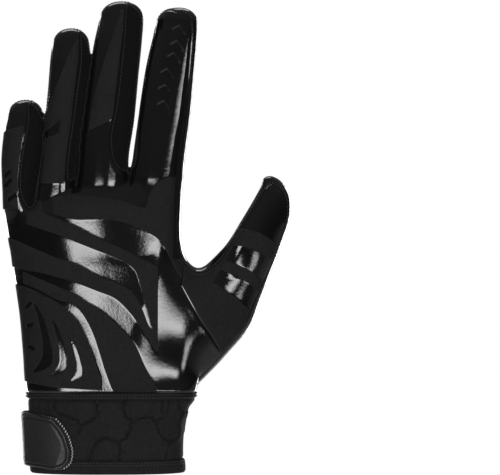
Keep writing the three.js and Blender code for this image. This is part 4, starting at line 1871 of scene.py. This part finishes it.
@dataclass
class Relief:
    """The matte bands and patches that stand over the film on the back of the hand."""

    workshop: Workshop
    thickness: float = 0.55
    fade: float = 2.2  # how far from a seam a pad reaches its full thickness
    base: float = 0.05
    seam_margin: float = 0.3  # the pads stop short of the seams

    RIM = ((0.0, 0.3), (0.12, 0.62), (0.3, 0.88), (0.6, 1.0))
    CRESCENT = table(
        "down left right",
        (0, 0, 0.03), (0.13, 0.05, 0.11), (0.32, 0.1, 0.19),
        (0.54, 0.145, 0.25), (0.72, 0.15, 0.29), (0.87, 0.1, 0.28),
        (0.95, 0.03, 0.18), (1, 0, 0.05),
    )
    WINDOWS = table(
        "across top height",
        (-0.417, 0.2385, 0.172),
        (-0.309, 0.196, 0.136),
        (-0.2, 0.145, 0.0985),
    )
    CHEVRONS = table(
        "up point",
        (0.941, 0.125), (0.9025, 0.115), (0.872, 0.07), (0.832, -0.11),
        (0.7915, -0.1), (0.751, -0.08),
    )
    CHEVRON_LINE = 1.15
    CHEVRON_RISE = 0.85
    CHEVRON_LEFT = (3.6, 1.9)
    CHEVRON_RIGHT = (3.4, 4.8)
    SLOTS = table(
        "across up run rise half",
        (-0.582, 0.5595, 0.024, 0.01, 1.0),
        (-0.579, 0.5355, 0.026, 0.012, 1.05),
        (-0.56, 0.5, 0.04, 0.012, 0.95),
        (-0.455, 0.23, 0.02, 0.008, 1.0),
        (-0.445, 0.182, 0.02, 0.004, 1.0),
        (-0.438, 0.13, 0.022, -0.004, 1.0),
    )

    def hand_pads(self) -> list[Pad]:
        """The patches on the back panel.

        Returns:
            The patches.
        """
        knuckle = band(
            (-0.309, 0.506, 0.463), (-0.16, 0.51, 0.448), (-0.017, 0.505, 0.4495),
            (0.097, 0.495, 0.441), (0.217, 0.4785, 0.419), (0.246, 0.519, 0.413),
            (0.286, 0.539, 0.4015), (0.326, 0.552, 0.38), (0.366, 0.5555, 0.342),
            (0.411, 0.554, 0.307), (0.434, 0.55, 0.292),
        )
        upper = band(
            (-0.457, 0.486, 0.437), (-0.377, 0.4975, 0.4255), (-0.363, 0.468, 0.4235),
            (-0.274, 0.451, 0.41), (-0.16, 0.4305, 0.39), (-0.046, 0.403, 0.37),
            (0.069, 0.38, 0.35), (0.166, 0.3585, 0.3195), (0.189, 0.3535, 0.289),
            (0.229, 0.345, 0.226), (0.263, 0.337, 0.1705), (0.291, 0.331, 0.115),
        )
        lower = band(
            (-0.7, 0.42, 0.35), (-0.56, 0.403, 0.332), (-0.389, 0.3725, 0.317),
            (-0.274, 0.352, 0.304), (-0.189, 0.342, 0.293), (-0.046, 0.309, 0.269),
            (0.04, 0.294, 0.254), (0.137, 0.2715, 0.2145), (0.2, 0.2285, 0.174),
            (0.246, 0.1805, 0.1425), (0.263, 0.1755, 0.13), (0.291, 0.1705, 0.115),
        )
        hand = band(
            (-0.48, 0.3195, 0.29), (-0.389, 0.302, 0.274), (-0.263, 0.279, 0.246),
            (-0.206, 0.2675, 0.24), (-0.149, 0.255, 0.221), (-0.103, 0.242, 0.1905),
            (-0.069, 0.2335, 0.158), (-0.04, 0.226, 0.12), (0, 0.212, 0.0645),
            (0.051, 0.1905, 0.018), (0.126, 0.158, 0.018), (0.16, 0.14, 0.018),
            (0.223, 0.0795, 0.018), (0.286, 0.0315, 0.018),
        )
        side = band(
            (-0.7, 0.3, 0.05), (-0.457, 0.279, 0.043), (-0.36, 0.259, 0.035),
            (-0.274, 0.241, 0.029), (-0.229, 0.226, 0.028), (-0.16, 0.1955, 0.0265),
            (-0.114, 0.158, 0.025), (-0.08, 0.12, 0.0245), (-0.051, 0.082, 0.024),
            (-0.029, 0.057, 0.024),
        )
        windows = [self.window(*row) for row in zip(*self.WINDOWS.values())]
        slots = self.slots()
        return [
            Pad("knuckle_band", (knuckle,)),
            Pad("double_band", (upper, lower)),
            Pad("hand_pad", (hand,)),
            Pad("side_pad", (side,), (*windows, *slots[3:])),
            *self.finger_pads(slots[:3]),
            *self.chevrons(),
        ]

    def finger_pads(self, slots: list[Slot]) -> list[Pad]:
        """The long patches on the little, ring and middle fingers.

        Args:
            slots: The grooves in the little finger's patch.

        Returns:
            The patches.
        """
        pinky = on_finger(
            PINKY,
            (0.687, -0.08, 0.03), (0.664, -1.2, 0.03), (0.6, -1.2, 0.03),
            (0.53, -1.2, 0.03), (0.475, -1.2, 0),
        )
        ring = on_finger(
            RING,
            (0.9065, 0.4, 0.46), (0.8725, 0.02, 0.46), (0.822, -0.3, 0.46),
            (0.7765, -0.58, 0.46), (0.739, -0.8, 0.46), (0.7, -0.9, 0.46),
            (0.64, -0.87, 0.46), (0.54, -0.75, 0.46),
        )
        middle = on_finger(
            MIDDLE,
            (0.98, -0.04, 0.14), (0.953, -0.12, 0.18), (0.89, -0.3, 0.18),
            (0.847, -0.44, 0.18), (0.802, -0.56, 0.18), (0.756, -0.67, 0.18),
            (0.708, -0.72, 0.18), (0.673, -0.72, -0.66),
        )
        slash = Outline(polyline(((-0.4, 0.645), (-0.274, 0.668), (-0.269, 0.7), (-0.4, 0.655))))
        return [
            Pad("pinky_pad", (pinky,), tuple(slots)),
            Pad("ring_pad", (ring,), (slash,)),
            Pad("middle_pad", (middle,)),
        ]

    def chevrons(self) -> list[Pad]:
        """The thin chevrons on the index finger.

        Returns:
            The chevrons.
        """
        found = []
        for i, (up, point) in enumerate(zip(self.CHEVRONS["up"], self.CHEVRONS["point"])):
            tip = INDEX.edge(np.array([SIZES.up(up)]), point)[0]
            left = tip - np.array(self.CHEVRON_LEFT)
            right = tip + np.array([self.CHEVRON_RIGHT[0], -self.CHEVRON_RIGHT[1]])
            down = np.array([0, self.CHEVRON_LINE])
            outline = np.array([tip, left, left - down, tip - down, right - down, right])
            name = f"chevron_{i + 1}"
            found.append(Pad(name, (Outline(outline),), rise=self.CHEVRON_RISE, finish=Finishes.LINE))
        return found

    def window(self, across: float, top: float, height: float) -> Outline:
        """The outline of one crescent window.

        Args:
            across: Its left edge's place, as a share of the breadth.
            top: Its top's height, as a share of the length.
            height: Its height, as a share of the length.

        Returns:
            The outline.
        """
        size = height * SIZES.length
        rows = self.CRESCENT
        down = np.linspace(0, 1, 24)
        z = SIZES.up(top) - down * size
        left = SIZES.across(across) + through(down, rows["down"], rows["left"]) * size
        right = SIZES.across(across) + through(down, rows["down"], rows["right"]) * size
        return Outline.between(np.stack([left, z], 1), np.stack([right, z], 1))

    def slots(self) -> list[Slot]:
        """The short grooves at the little-finger edge.

        Returns:
            The grooves.
        """
        rows = [dict(zip(self.SLOTS, row)) for row in zip(*self.SLOTS.values())]
        return [
            Slot(
                (float(SIZES.across(r["across"])), float(SIZES.up(r["up"]))),
                (float(SIZES.across(r["across"] + r["run"])), float(SIZES.up(r["up"] + r["rise"]))),
                r["half"],
            )
            for r in rows
        ]

    def thumb_pad(self) -> Pad:
        """The patch on the thumb with its two notches.

        Returns:
            The patch.
        """
        whole = on_thumb(
            (-0.6, 0.9, -0.4), (-0.1, 0.69, -0.4), (-0.025, 0.703, -0.4),
            (0.009, 0.7175, -0.4), (0.064, 0.7285, -0.4), (0.106, 0.727, -0.4),
            (0.153, 0.718, -0.4), (0.35, 0.68, -0.4),
        )
        upper = on_thumb(
            (-0.02, 0.621, 0.543), (0.05, 0.648, 0.557), (0.107, 0.655, 0.561),
            (0.17, 0.645, 0.545), (0.35, 0.59, 0.49),
        )
        lower = on_thumb(
            (-0.018, 0.499, 0.4325), (0.083, 0.507, 0.4287), (0.13, 0.508, 0.42),
            (0.2, 0.487, 0.404), (0.35, 0.43, 0.36),
        )
        return Pad("thumb_pad", (whole,), (upper, lower))

    def build(self, panel: Skin, pads: list[Pad]) -> None:
        """Builds pads over a panel and marks how far each of its places lies from the nearest.

        Args:
            panel: The panel's skin, with its rim measured.
            pads: The pads.
        """
        x, z = panel["x"].copy(), panel["z"].copy()
        panel["seam"] = panel["rim"]
        inner = panel["rim"] - self.seam_margin
        near = np.full(len(x), -Outline.REACH)
        for pad in pads:
            panel[pad.name] = np.minimum(pad.inside(x, z), inner)
            near = np.maximum(near, panel[pad.name])
        panel["near"] = near
        for pad in pads:
            self.raise_pad(pad, panel)

    def raise_pad(self, pad: Pad, panel: Skin) -> None:
        """Builds one pad over a panel, with a rounded rim.

        Args:
            pad: The pad.
            panel: The panel's skin, with the pad's distances.
        """
        whole = panel.kept(panel[pad.name][panel.faces].max(1) > -1.0)
        patch = whole.within(pad.name)
        patch.measure_rim()
        for distance, _ in self.RIM[1:]:
            patch.split("rim", distance)
        places, shares = zip(*self.RIM)
        rise = np.interp(patch["rim"], places, shares) * pad.rise
        rise *= 0.25 + 0.75 * eased((patch["seam"] - self.seam_margin) / self.fade)
        level = unevenness(patch)
        outer = level + self.base + rise * self.thickness
        self.workshop.piece(pad.name, patch, pad.finish, outer, level + self.base * 0.5)


@dataclass(frozen=True)
class CuffSizes:
    """The cuff's sizes, the same as the solids'."""

    height: float = SIZES.cuff_height
    breadth: float = 82.0
    depth: float = 44.0
    wall: float = 2.4
    hem_height: float = 6.5
    hem_proud: float = 0.9
    welt_height: float = SIZES.welt_height
    welt_proud: float = 1.1
    tab_thickness: float = 2.1
    tab_height: float = 29.0
    tab_reach: float = 25.0
    tab_edge: float = -0.512 * breadth
    tab_foot: float = 0.35 * hem_height
    hook_thickness: float = 0.8
    hook_past: float = 1.2

    @property
    def tab_at(self) -> float:
        """The height of the tab's underside over the cuff's form."""
        return self.hem_proud + self.hook_thickness + 0.1


CUFF = CuffSizes()
CUFF_ROWS = table(
    "up left right depth",
    (0.0, -0.462, 0.463, 0.96),
    (0.3, -0.469, 0.458, 0.96),
    (0.55, -0.475, 0.463, 0.97),
    (0.85, -0.482, 0.49, 0.99),
    (1.0, -0.486, 0.528, 1.0),
    (1.15, -0.486, 0.528, 1.0),
)


@dataclass
class Wrist:
    """The cuff, its hem and welt, and the fastened tab over the little-finger side."""

    workshop: Workshop
    stitcher: Stitcher
    around: int = 440
    step: float = 0.5
    groove: float = 0.9
    groove_width: float = 0.55
    puff: float = 0.45
    edge_drop: float = 0.7  # how far the padding thins at the band's seams
    edge_width: float = 0.9
    row_dip: float = 0.3
    row_width: float = 0.45
    row_height: float = 0.06  # the middle of the thread over the cloth
    thread_rise: float = 0.1  # the same on the hooks and the tab
    border: float = 1.9  # the tab's stitched line from its edge
    border_depth: float = 0.45
    border_width: float = 0.3
    bevel: float = 0.3  # the slope of the tab's facets
    bevel_from: float = 0.4  # how far from its edge they begin

    HEM_ROWS = (4.6, 5.7)
    WELT_ROWS = (0.28, 0.74)  # of the welt's height
    TEETH_LEVELS = (0.3, 0.6)
    HOOK_EDGE = ((0, 0.3), (0.3, 0.8), (0.6, 1))
    TAB_LEVELS = (0.15, 0.4, 0.8, 1.3, 1.6, 1.9, 2.2, 2.6)
    TAB_EDGE = ((0, 0.3), (0.15, 0.62), (0.4, 0.86), (0.8, 1.0))

    # The embossed lines, as places across from the front's middle and heights.
    LINES = (
        ((-24.5, 37), (-25.5, 32), (-22.5, 30), (-14.5, 27.3), (-12.5, 25), (-13, 21)),
        ((-12.5, 24), (-6, 27.3), (-3.2, 31), (-4, 37)),
        ((10, 37), (9, 31), (11.8, 27.3), (13.5, 26)),
        ((13.5, 26), (16.3, 27.5), (19, 28.3), (22.5, 28.6), (24.8, 26.4)),
        ((24.8, 26.4), (28, 27.3), (30.5, 30), (31.5, 37)),
        ((24.8, 26.4), (25.3, 22), (28, 17.5), (32.5, 16)),
        ((13.5, 26), (12, 22), (10, 18.3), (5.5, 16)),
        ((5.5, 16), (6.3, 11.3), (5, 6)),
        ((5.5, 16), (-1, 18.8), (-5.5, 16), (-6.7, 13), (-9, 6)),
        ((32.5, 16), (30, 13.7), (29, 6)),
        ((32.5, 16), (36, 19), (35.5, 25), (37, 30)),
        ((-33, 37), (-33.3, 30)),
    )
    REPEATS = ((0.0, 0.0), (64.0, 1.0), (118.0, -1.5))
    TAB = table(
        "along high low",
        (-1, 0.99, 0.07), (0.04, 0.98, 0.06), (0.42, 0.93, 0.03),
        (0.68, 0.88, 0), (0.82, 0.74, 0.01), (0.92, 0.59, 0.07),
        (0.98, 0.42, 0.15), (1, 0.34, 0.27),
    )
    FACET = np.array(
        [
            (-70.0, 100.0), (-26.5, 100.0), (-26.5, 25.8), (-21.0, 15.75),
            (-21.0, 12.25), (-24.0, 3.0), (-24.0, -50.0), (-70.0, -50.0),
        ]
    )

    def skin(self, low: float, high: float) -> Skin:
        """The cuff's form between two heights, as an even skin.

        Args:
            low: The lower height.
            high: The upper height.

        Returns:
            The skin, with the value arc: the way round from the little-finger edge, over the back.
        """
        rows = max(2, int(round((high - low) / self.step)) + 1)
        heights = np.linspace(low, high, rows)
        rings = []
        for z in heights:
            share = np.array([z / CUFF.height])
            left, right, depth = (
                float(through(share, CUFF_ROWS["up"], CUFF_ROWS[k])[0]) for k in ("left", "right", "depth")
            )
            angle = math.pi + np.linspace(0, 2 * math.pi, 4001)
            c, s = superellipse(angle, SIZES.palm_squareness)
            x = (left + right) / 2 * CUFF.breadth + c * (right - left) / 2 * CUFF.breadth
            y = s * depth / 2 * CUFF.depth
            run = np.concatenate([[0], np.cumsum(np.hypot(np.diff(x), np.diff(y)))])
            at = np.arange(self.around) / self.around * run[-1]
            columns = [np.interp(at, run, x), np.interp(at, run, y), np.full(self.around, z), at]
            rings.append(np.stack(columns, 1))
        values = np.vstack(rings)
        skin = Skin.from_mesh(values[:, :3], np.vstack(tube(self.around, rows)))
        skin["arc"] = values[:, 3]
        return skin

    def cells(self, skin: Skin) -> np.ndarray:
        """How far places on the cuff lie from the lines of its embossed cells.

        Args:
            skin: The band's skin.

        Returns:
            The distance at each vertex.
        """
        front = skin["y"] < 0
        order = np.argsort(skin["x"][front])
        places = skin["x"][front][order]
        arcs = skin["arc"][front][order]
        arc, z = skin["arc"], skin["z"]
        best = np.full(len(arc), 1e6)
        for shift, rise in self.REPEATS:
            for line in self.LINES:
                points = rounded(np.array(line, float))
                points[:, 0] = np.interp(points[:, 0], places, arcs) + shift
                points[:, 1] += rise
                for a, b in zip(points[:-1], points[1:]):
                    ex, ez = b - a
                    px, pz = arc - a[0], z - a[1]
                    t = np.clip((px * ex + pz * ez) / (ex * ex + ez * ez), 0, 1)
                    best = np.minimum(best, (px - t * ex) ** 2 + (pz - t * ez) ** 2)
        return np.sqrt(best)

    def build(self) -> None:
        """Builds every piece of the wrist."""
        gap = SIZES.gap
        self.build_band(self.skin(CUFF.hem_height + gap * 0.3, CUFF.height - gap * 0.3))
        self.build_hem(self.skin(0, CUFF.hem_height))
        self.build_welt(self.skin(CUFF.height, CUFF.height + CUFF.welt_height))
        form = self.skin(0.5 * gap, CUFF.height - gap)
        self.build_hooks(form.kept(np.ones(len(form.faces), bool)))
        self.build_tab(form)

    def build_band(self, skin: Skin) -> None:
        """The padded band with its embossed cells.

        Args:
            skin: The band's skin.
        """
        border = self.cells(skin)
        emboss = -self.groove * np.exp(-((border / self.groove_width) ** 2))
        swell = self.puff * np.exp(-(((border - 1.5) / 1.0) ** 2)) + self.puff
        skin.measure_rim()
        edge = -self.edge_drop * np.exp(-((skin["rim"] / self.edge_width) ** 1.5))
        outer = emboss + swell - self.puff + edge + unevenness(skin, 0.25, 12.0)
        skin["rim"] = border
        made = self.workshop.piece("cuff_band", skin, Finishes.CUFF, outer, -CUFF.wall)

    def build_hem(self, skin: Skin) -> None:
        """The turned lower edge, with two rows of stitches.

        Args:
            skin: The edge's skin.
        """
        share = skin["z"] / CUFF.hem_height
        round_edge = np.clip(1 - np.abs(2 * share - 1) ** 6, 0, 1)
        rows = self.HEM_ROWS
        dip = sum(self.row_dip * np.exp(-(((skin["z"] - r) / self.row_width) ** 2)) for r in rows)
        outer = CUFF.hem_proud * (0.25 + 0.75 * round_edge) - dip + unevenness(skin, 0.2, 12.0)
        self.workshop.piece("cuff_hem", skin, Finishes.CUFF, outer, -CUFF.wall)
        for i, row in enumerate(rows):
            self.row_at(f"stitches_hem_{i + 1}", skin, outer, row)

    def build_welt(self, skin: Skin) -> None:
        """The sewn roll between the hand part and the cuff.

        Args:
            skin: The roll's skin.
        """
        share = (skin["z"] - CUFF.height) / CUFF.welt_height
        bead = np.sqrt(np.clip(1 - (2 * share - 1) ** 2, 0, 1))
        middle = 0.35 * np.exp(-(((share - 0.5) / 0.12) ** 2))
        outer = CUFF.welt_proud * (0.15 + 0.85 * bead) - middle + unevenness(skin, 0.15, 9.0)
        self.workshop.piece("wrist_welt", skin, Finishes.MATTE, outer, -CUFF.wall)
        for i, part in enumerate(self.WELT_ROWS):
            self.row_at(f"stitches_welt_{i + 1}", skin, outer, CUFF.height + part * CUFF.welt_height)

    def row_at(self, name: str, skin: Skin, outer: np.ndarray, height: float) -> None:
        """Sews one row of stitches round the wrist.

        Args:
            name: The row's name.
            skin: The skin that it is sewn on.
            outer: The height of the outside over the skin.
            height: The row's height.
        """
        skin["row"] = skin["z"]
        skin["outer"] = outer
        line = skin.kept(np.ones(len(skin.faces), bool))
        line.split("row", height)
        points = line_points(line, line["outer"] + self.row_height)
        self.stitcher.sew(name, points, line.level_edges("row", height))

    def tab_outline(self, past: float) -> Outline:
        """The tab's outline seen from the back.

        Args:
            past: How far its tip is grown.

        Returns:
            The outline.
        """
        rows = self.TAB
        grown = np.where(rows["along"] > 0.5, past, 0)
        x = CUFF.tab_edge + rows["along"] * CUFF.tab_reach + grown
        high = np.stack([x, CUFF.tab_foot + rows["high"] * CUFF.tab_height], 1)
        low = np.stack([x, CUFF.tab_foot + rows["low"] * CUFF.tab_height], 1)
        return Outline.between(high, low)

    def tab_patch(self, skin: Skin, past: float) -> Skin:
        """The part of the cuff's form that the tab covers.

        Args:
            skin: The cuff's skin.
            past: How far the tab's tip is grown.

        Returns:
            The patch, with its rim measured.
        """
        inside = self.tab_outline(past).inside(skin["x"].copy(), skin["z"].copy())
        skin["tab"] = np.minimum(inside, 0.1 * CUFF.depth - skin["y"])
        patch = skin.kept(skin["tab"][skin.faces].max(1) > -1.5).within("tab")
        patch.measure_rim()
        return patch

    def build_hooks(self, skin: Skin) -> None:
        """The hook strip under the tab, with two rows of teeth along its edge.

        Args:
            skin: The cuff's skin.
        """
        hooks = self.tab_patch(skin, CUFF.hook_past)
        for level in self.TEETH_LEVELS:
            hooks.split("rim", level)
        rise = CUFF.hem_proud + CUFF.hook_thickness * np.interp(hooks["rim"], *zip(*self.HOOK_EDGE))
        self.workshop.piece("hook_pad", hooks, Finishes.CUFF, rise, CUFF.hem_proud)
        # The teeth's light grey colour is painted glints on black hooks.
        teeth = Stitcher(self.workshop, Finishes.HOOK_GLINTS, pitch=1.5, length=0.75, radius=0.34)
        tip = CUFF.tab_edge + 0.45 * CUFF.tab_reach
        for i, level in enumerate(self.TEETH_LEVELS):
            lines = hooks.level_edges("rim", level)
            out = lines[hooks["x"][lines].min(1) > tip]
            teeth.sew(f"hook_teeth_{i + 1}", line_points(hooks, rise + self.thread_rise), out)

    def build_tab(self, skin: Skin) -> None:
        """The moulded tab over the hook strip, with facets and a stitched border.

        Args:
            skin: The cuff's skin.
        """
        tab = self.tab_patch(skin, 0)
        tab["facet"] = Outline(self.FACET).inside(tab["x"].copy(), tab["z"].copy())
        tab.split("facet", 0.0)
        for level in self.TAB_LEVELS:
            tab.split("rim", level)
        rim = tab["rim"]
        edge = np.interp(rim, *zip(*self.TAB_EDGE))
        border = self.border_depth * np.exp(-(((rim - self.border) / self.border_width) ** 2))
        bevel = self.bevel * np.minimum(0, tab["facet"]) * (rim > self.bevel_from)
        past = rim - self.border
        dished = 0.22 * np.exp(-np.maximum(0, past) / 2.5) * (past > 0)
        outer = CUFF.tab_at + CUFF.tab_thickness * edge - border + bevel + dished
        self.workshop.piece("strap_tab", tab, Finishes.TAB, outer, CUFF.tab_at, sharp=30.0)
        fine = Stitcher(self.workshop, Finishes.THREAD, pitch=1.4, length=0.9, radius=0.22)
        line = tab.level_edges("rim", self.border)
        fine.sew("stitches_tab", line_points(tab, outer + self.thread_rise), line)


@dataclass
class Studio:
    """The plain pale room, its lights and the camera."""

    pixel: float = 0.5  # millimetres in one pixel of the picture
    centre: tuple[float, float] = (71.0, 117.0)
    width: float = 500.0
    distance: float = 1500.0
    floor_drop: float = 420.0

    AIM = (0.03, 0, 0.12)  # what the lights face, in metres

    def build(self) -> None:
        """Builds the camera, the lights, the world and the floor."""
        self.camera()
        self.lights()
        self.world()
        self.floor()
        view = bpy.context.scene.view_settings
        view.view_transform = "Standard"
        view.look = "None"

    def camera(self) -> None:
        """The camera at the picture's angle and frame."""
        data = bpy.data.cameras.new("camera")
        data.sensor_width = 36.0
        data.lens = data.sensor_width * self.distance / (self.width * self.pixel)
        made = bpy.data.objects.new("camera", data)
        made.location = (self.centre[0] * MM, -self.distance * MM, self.centre[1] * MM)
        made.rotation_euler = (math.pi / 2, 0, 0)
        bpy.context.scene.collection.objects.link(made)
        bpy.context.scene.camera = made

    def lamp(
        self,
        name: str,
        azimuth: float,
        elevation: float,
        far: float,
        size: tuple[float, float],
        radiance: float,
    ) -> bpy.types.Object:
        """An even rectangular light that faces the glove.

        Args:
            name: Its name.
            azimuth: Degrees from the camera's side, towards +X.
            elevation: Degrees up.
            far: Its distance in metres.
            size: Its width and height in metres.
            radiance: How bright its face is.

        Returns:
            The light's object.
        """
        data = bpy.data.lights.new(name, "AREA")
        data.shape = "RECTANGLE"
        data.size, data.size_y = size
        data.energy = radiance * math.pi * size[0] * size[1]
        made = bpy.data.objects.new(name, data)
        a, e = math.radians(azimuth), math.radians(elevation)
        away = Vector((math.sin(a) * math.cos(e), -math.cos(a) * math.cos(e), math.sin(e)))
        made.location = Vector(self.AIM) + away * far
        made.rotation_euler = away.to_track_quat("Z", "Y").to_euler()
        made.visible_camera = False
        bpy.context.scene.collection.objects.link(made)
        return made

    def lights(self) -> None:
        """Soft strips and small lights beside the camera, a top light and lights behind."""
        self.lamp("strip_left", -11.2, -2, 1.8, (0.46, 0.66), 12.5)
        self.lamp("strip_right", 19, 6, 1.8, (0.68, 0.22), 12.5)
        self.lamp("small_right", 36, -4.5, 1.8, (0.2, 0.2), 9.0)
        self.lamp("top", 0, 70, 1.5, (1.4, 0.8), 2.6).visible_glossy = False
        self.lamp("behind_right", 158, -4, 1.8, (0.3, 1.1), 7.0)
        self.lamp("behind_left", -156, -4, 1.8, (0.3, 1.1), 7.0)
        self.lamp("behind_top", 190, 55, 1.8, (1.2, 0.6), 3.0)

    def world(self) -> None:
        """White to the eye, dim and a little brighter from behind in what it lights."""
        world = bpy.data.worlds.new("studio")
        bpy.context.scene.world = world
        world.use_nodes = True
        world.node_tree.nodes.clear()
        shades = Shades(world.node_tree)
        seen = shades.add("ShaderNodeLightPath").outputs["Is Camera Ray"]
        place = shades.add("ShaderNodeTexCoord").outputs["Generated"]
        axes = shades.add("ShaderNodeSeparateXYZ", _0=place).outputs
        low = {"clamp": True}
        raised = shades.add(
            "ShaderNodeMapRange", low, Value=axes[2], From_Min=0.05, From_Max=0.5, To_Min=0.025, To_Max=0.16
        )
        behind = shades.add(
            "ShaderNodeMapRange", low, Value=axes[1], From_Min=0.2, From_Max=0.9, To_Min=0.0, To_Max=0.02
        )
        lit = shades.math("ADD", raised.outputs[0], behind.outputs[0])
        strength = shades.add("ShaderNodeMix", {"data_type": "FLOAT"}, _0=seen, _2=lit, _3=1.0)
        light = shades.add("ShaderNodeBackground", Color=(1, 1, 1, 1), Strength=strength.outputs[0])
        shades.add("ShaderNodeOutputWorld", Surface=light.outputs[0])

    def floor(self) -> None:
        """A wide pale floor, well below the glove, which is held up."""
        half, z = 4.0, -self.floor_drop * MM
        mesh = bpy.data.meshes.new("floor")
        corners = [(-half, -half, z), (half, -half, z), (half, half, z), (-half, half, z)]
        mesh.from_pydata(corners, [], [(0, 1, 2, 3)])
        material = bpy.data.materials.new("pale_floor")
        material.use_nodes = True
        surface = material.node_tree.nodes["Principled BSDF"]
        surface.inputs["Base Color"].default_value = (0.85, 0.85, 0.85, 1)
        surface.inputs["Roughness"].default_value = 0.9
        mesh.materials.append(material)
        made = bpy.data.objects.new("floor", mesh)
        bpy.context.scene.collection.objects.link(made)
        made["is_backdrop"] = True


def corners(box: object) -> list[list[float]]:
    """A box's two corners as plain lists."""
    low, high = box[0], box[1]
    return [[float(v) for v in low], [float(v) for v in high]]


def main() -> None:
    """Builds the glove around the frame."""
    logging.basicConfig(level=logging.INFO, format="%(message)s")
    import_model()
    cad = corners(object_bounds())
    Studio().build()
    workshop = Workshop()
    stitcher = Stitcher(workshop)
    hand = HandForm().skin()
    LOG.info("hand skin: %d triangles", len(hand.faces))
    HandPanels(workshop, stitcher, Relief(workshop)).build(hand)
    Wrist(workshop, stitcher).build()
    {"cad": cad, "visual": corners(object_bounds())}


if __name__ == "__main__":
    main()
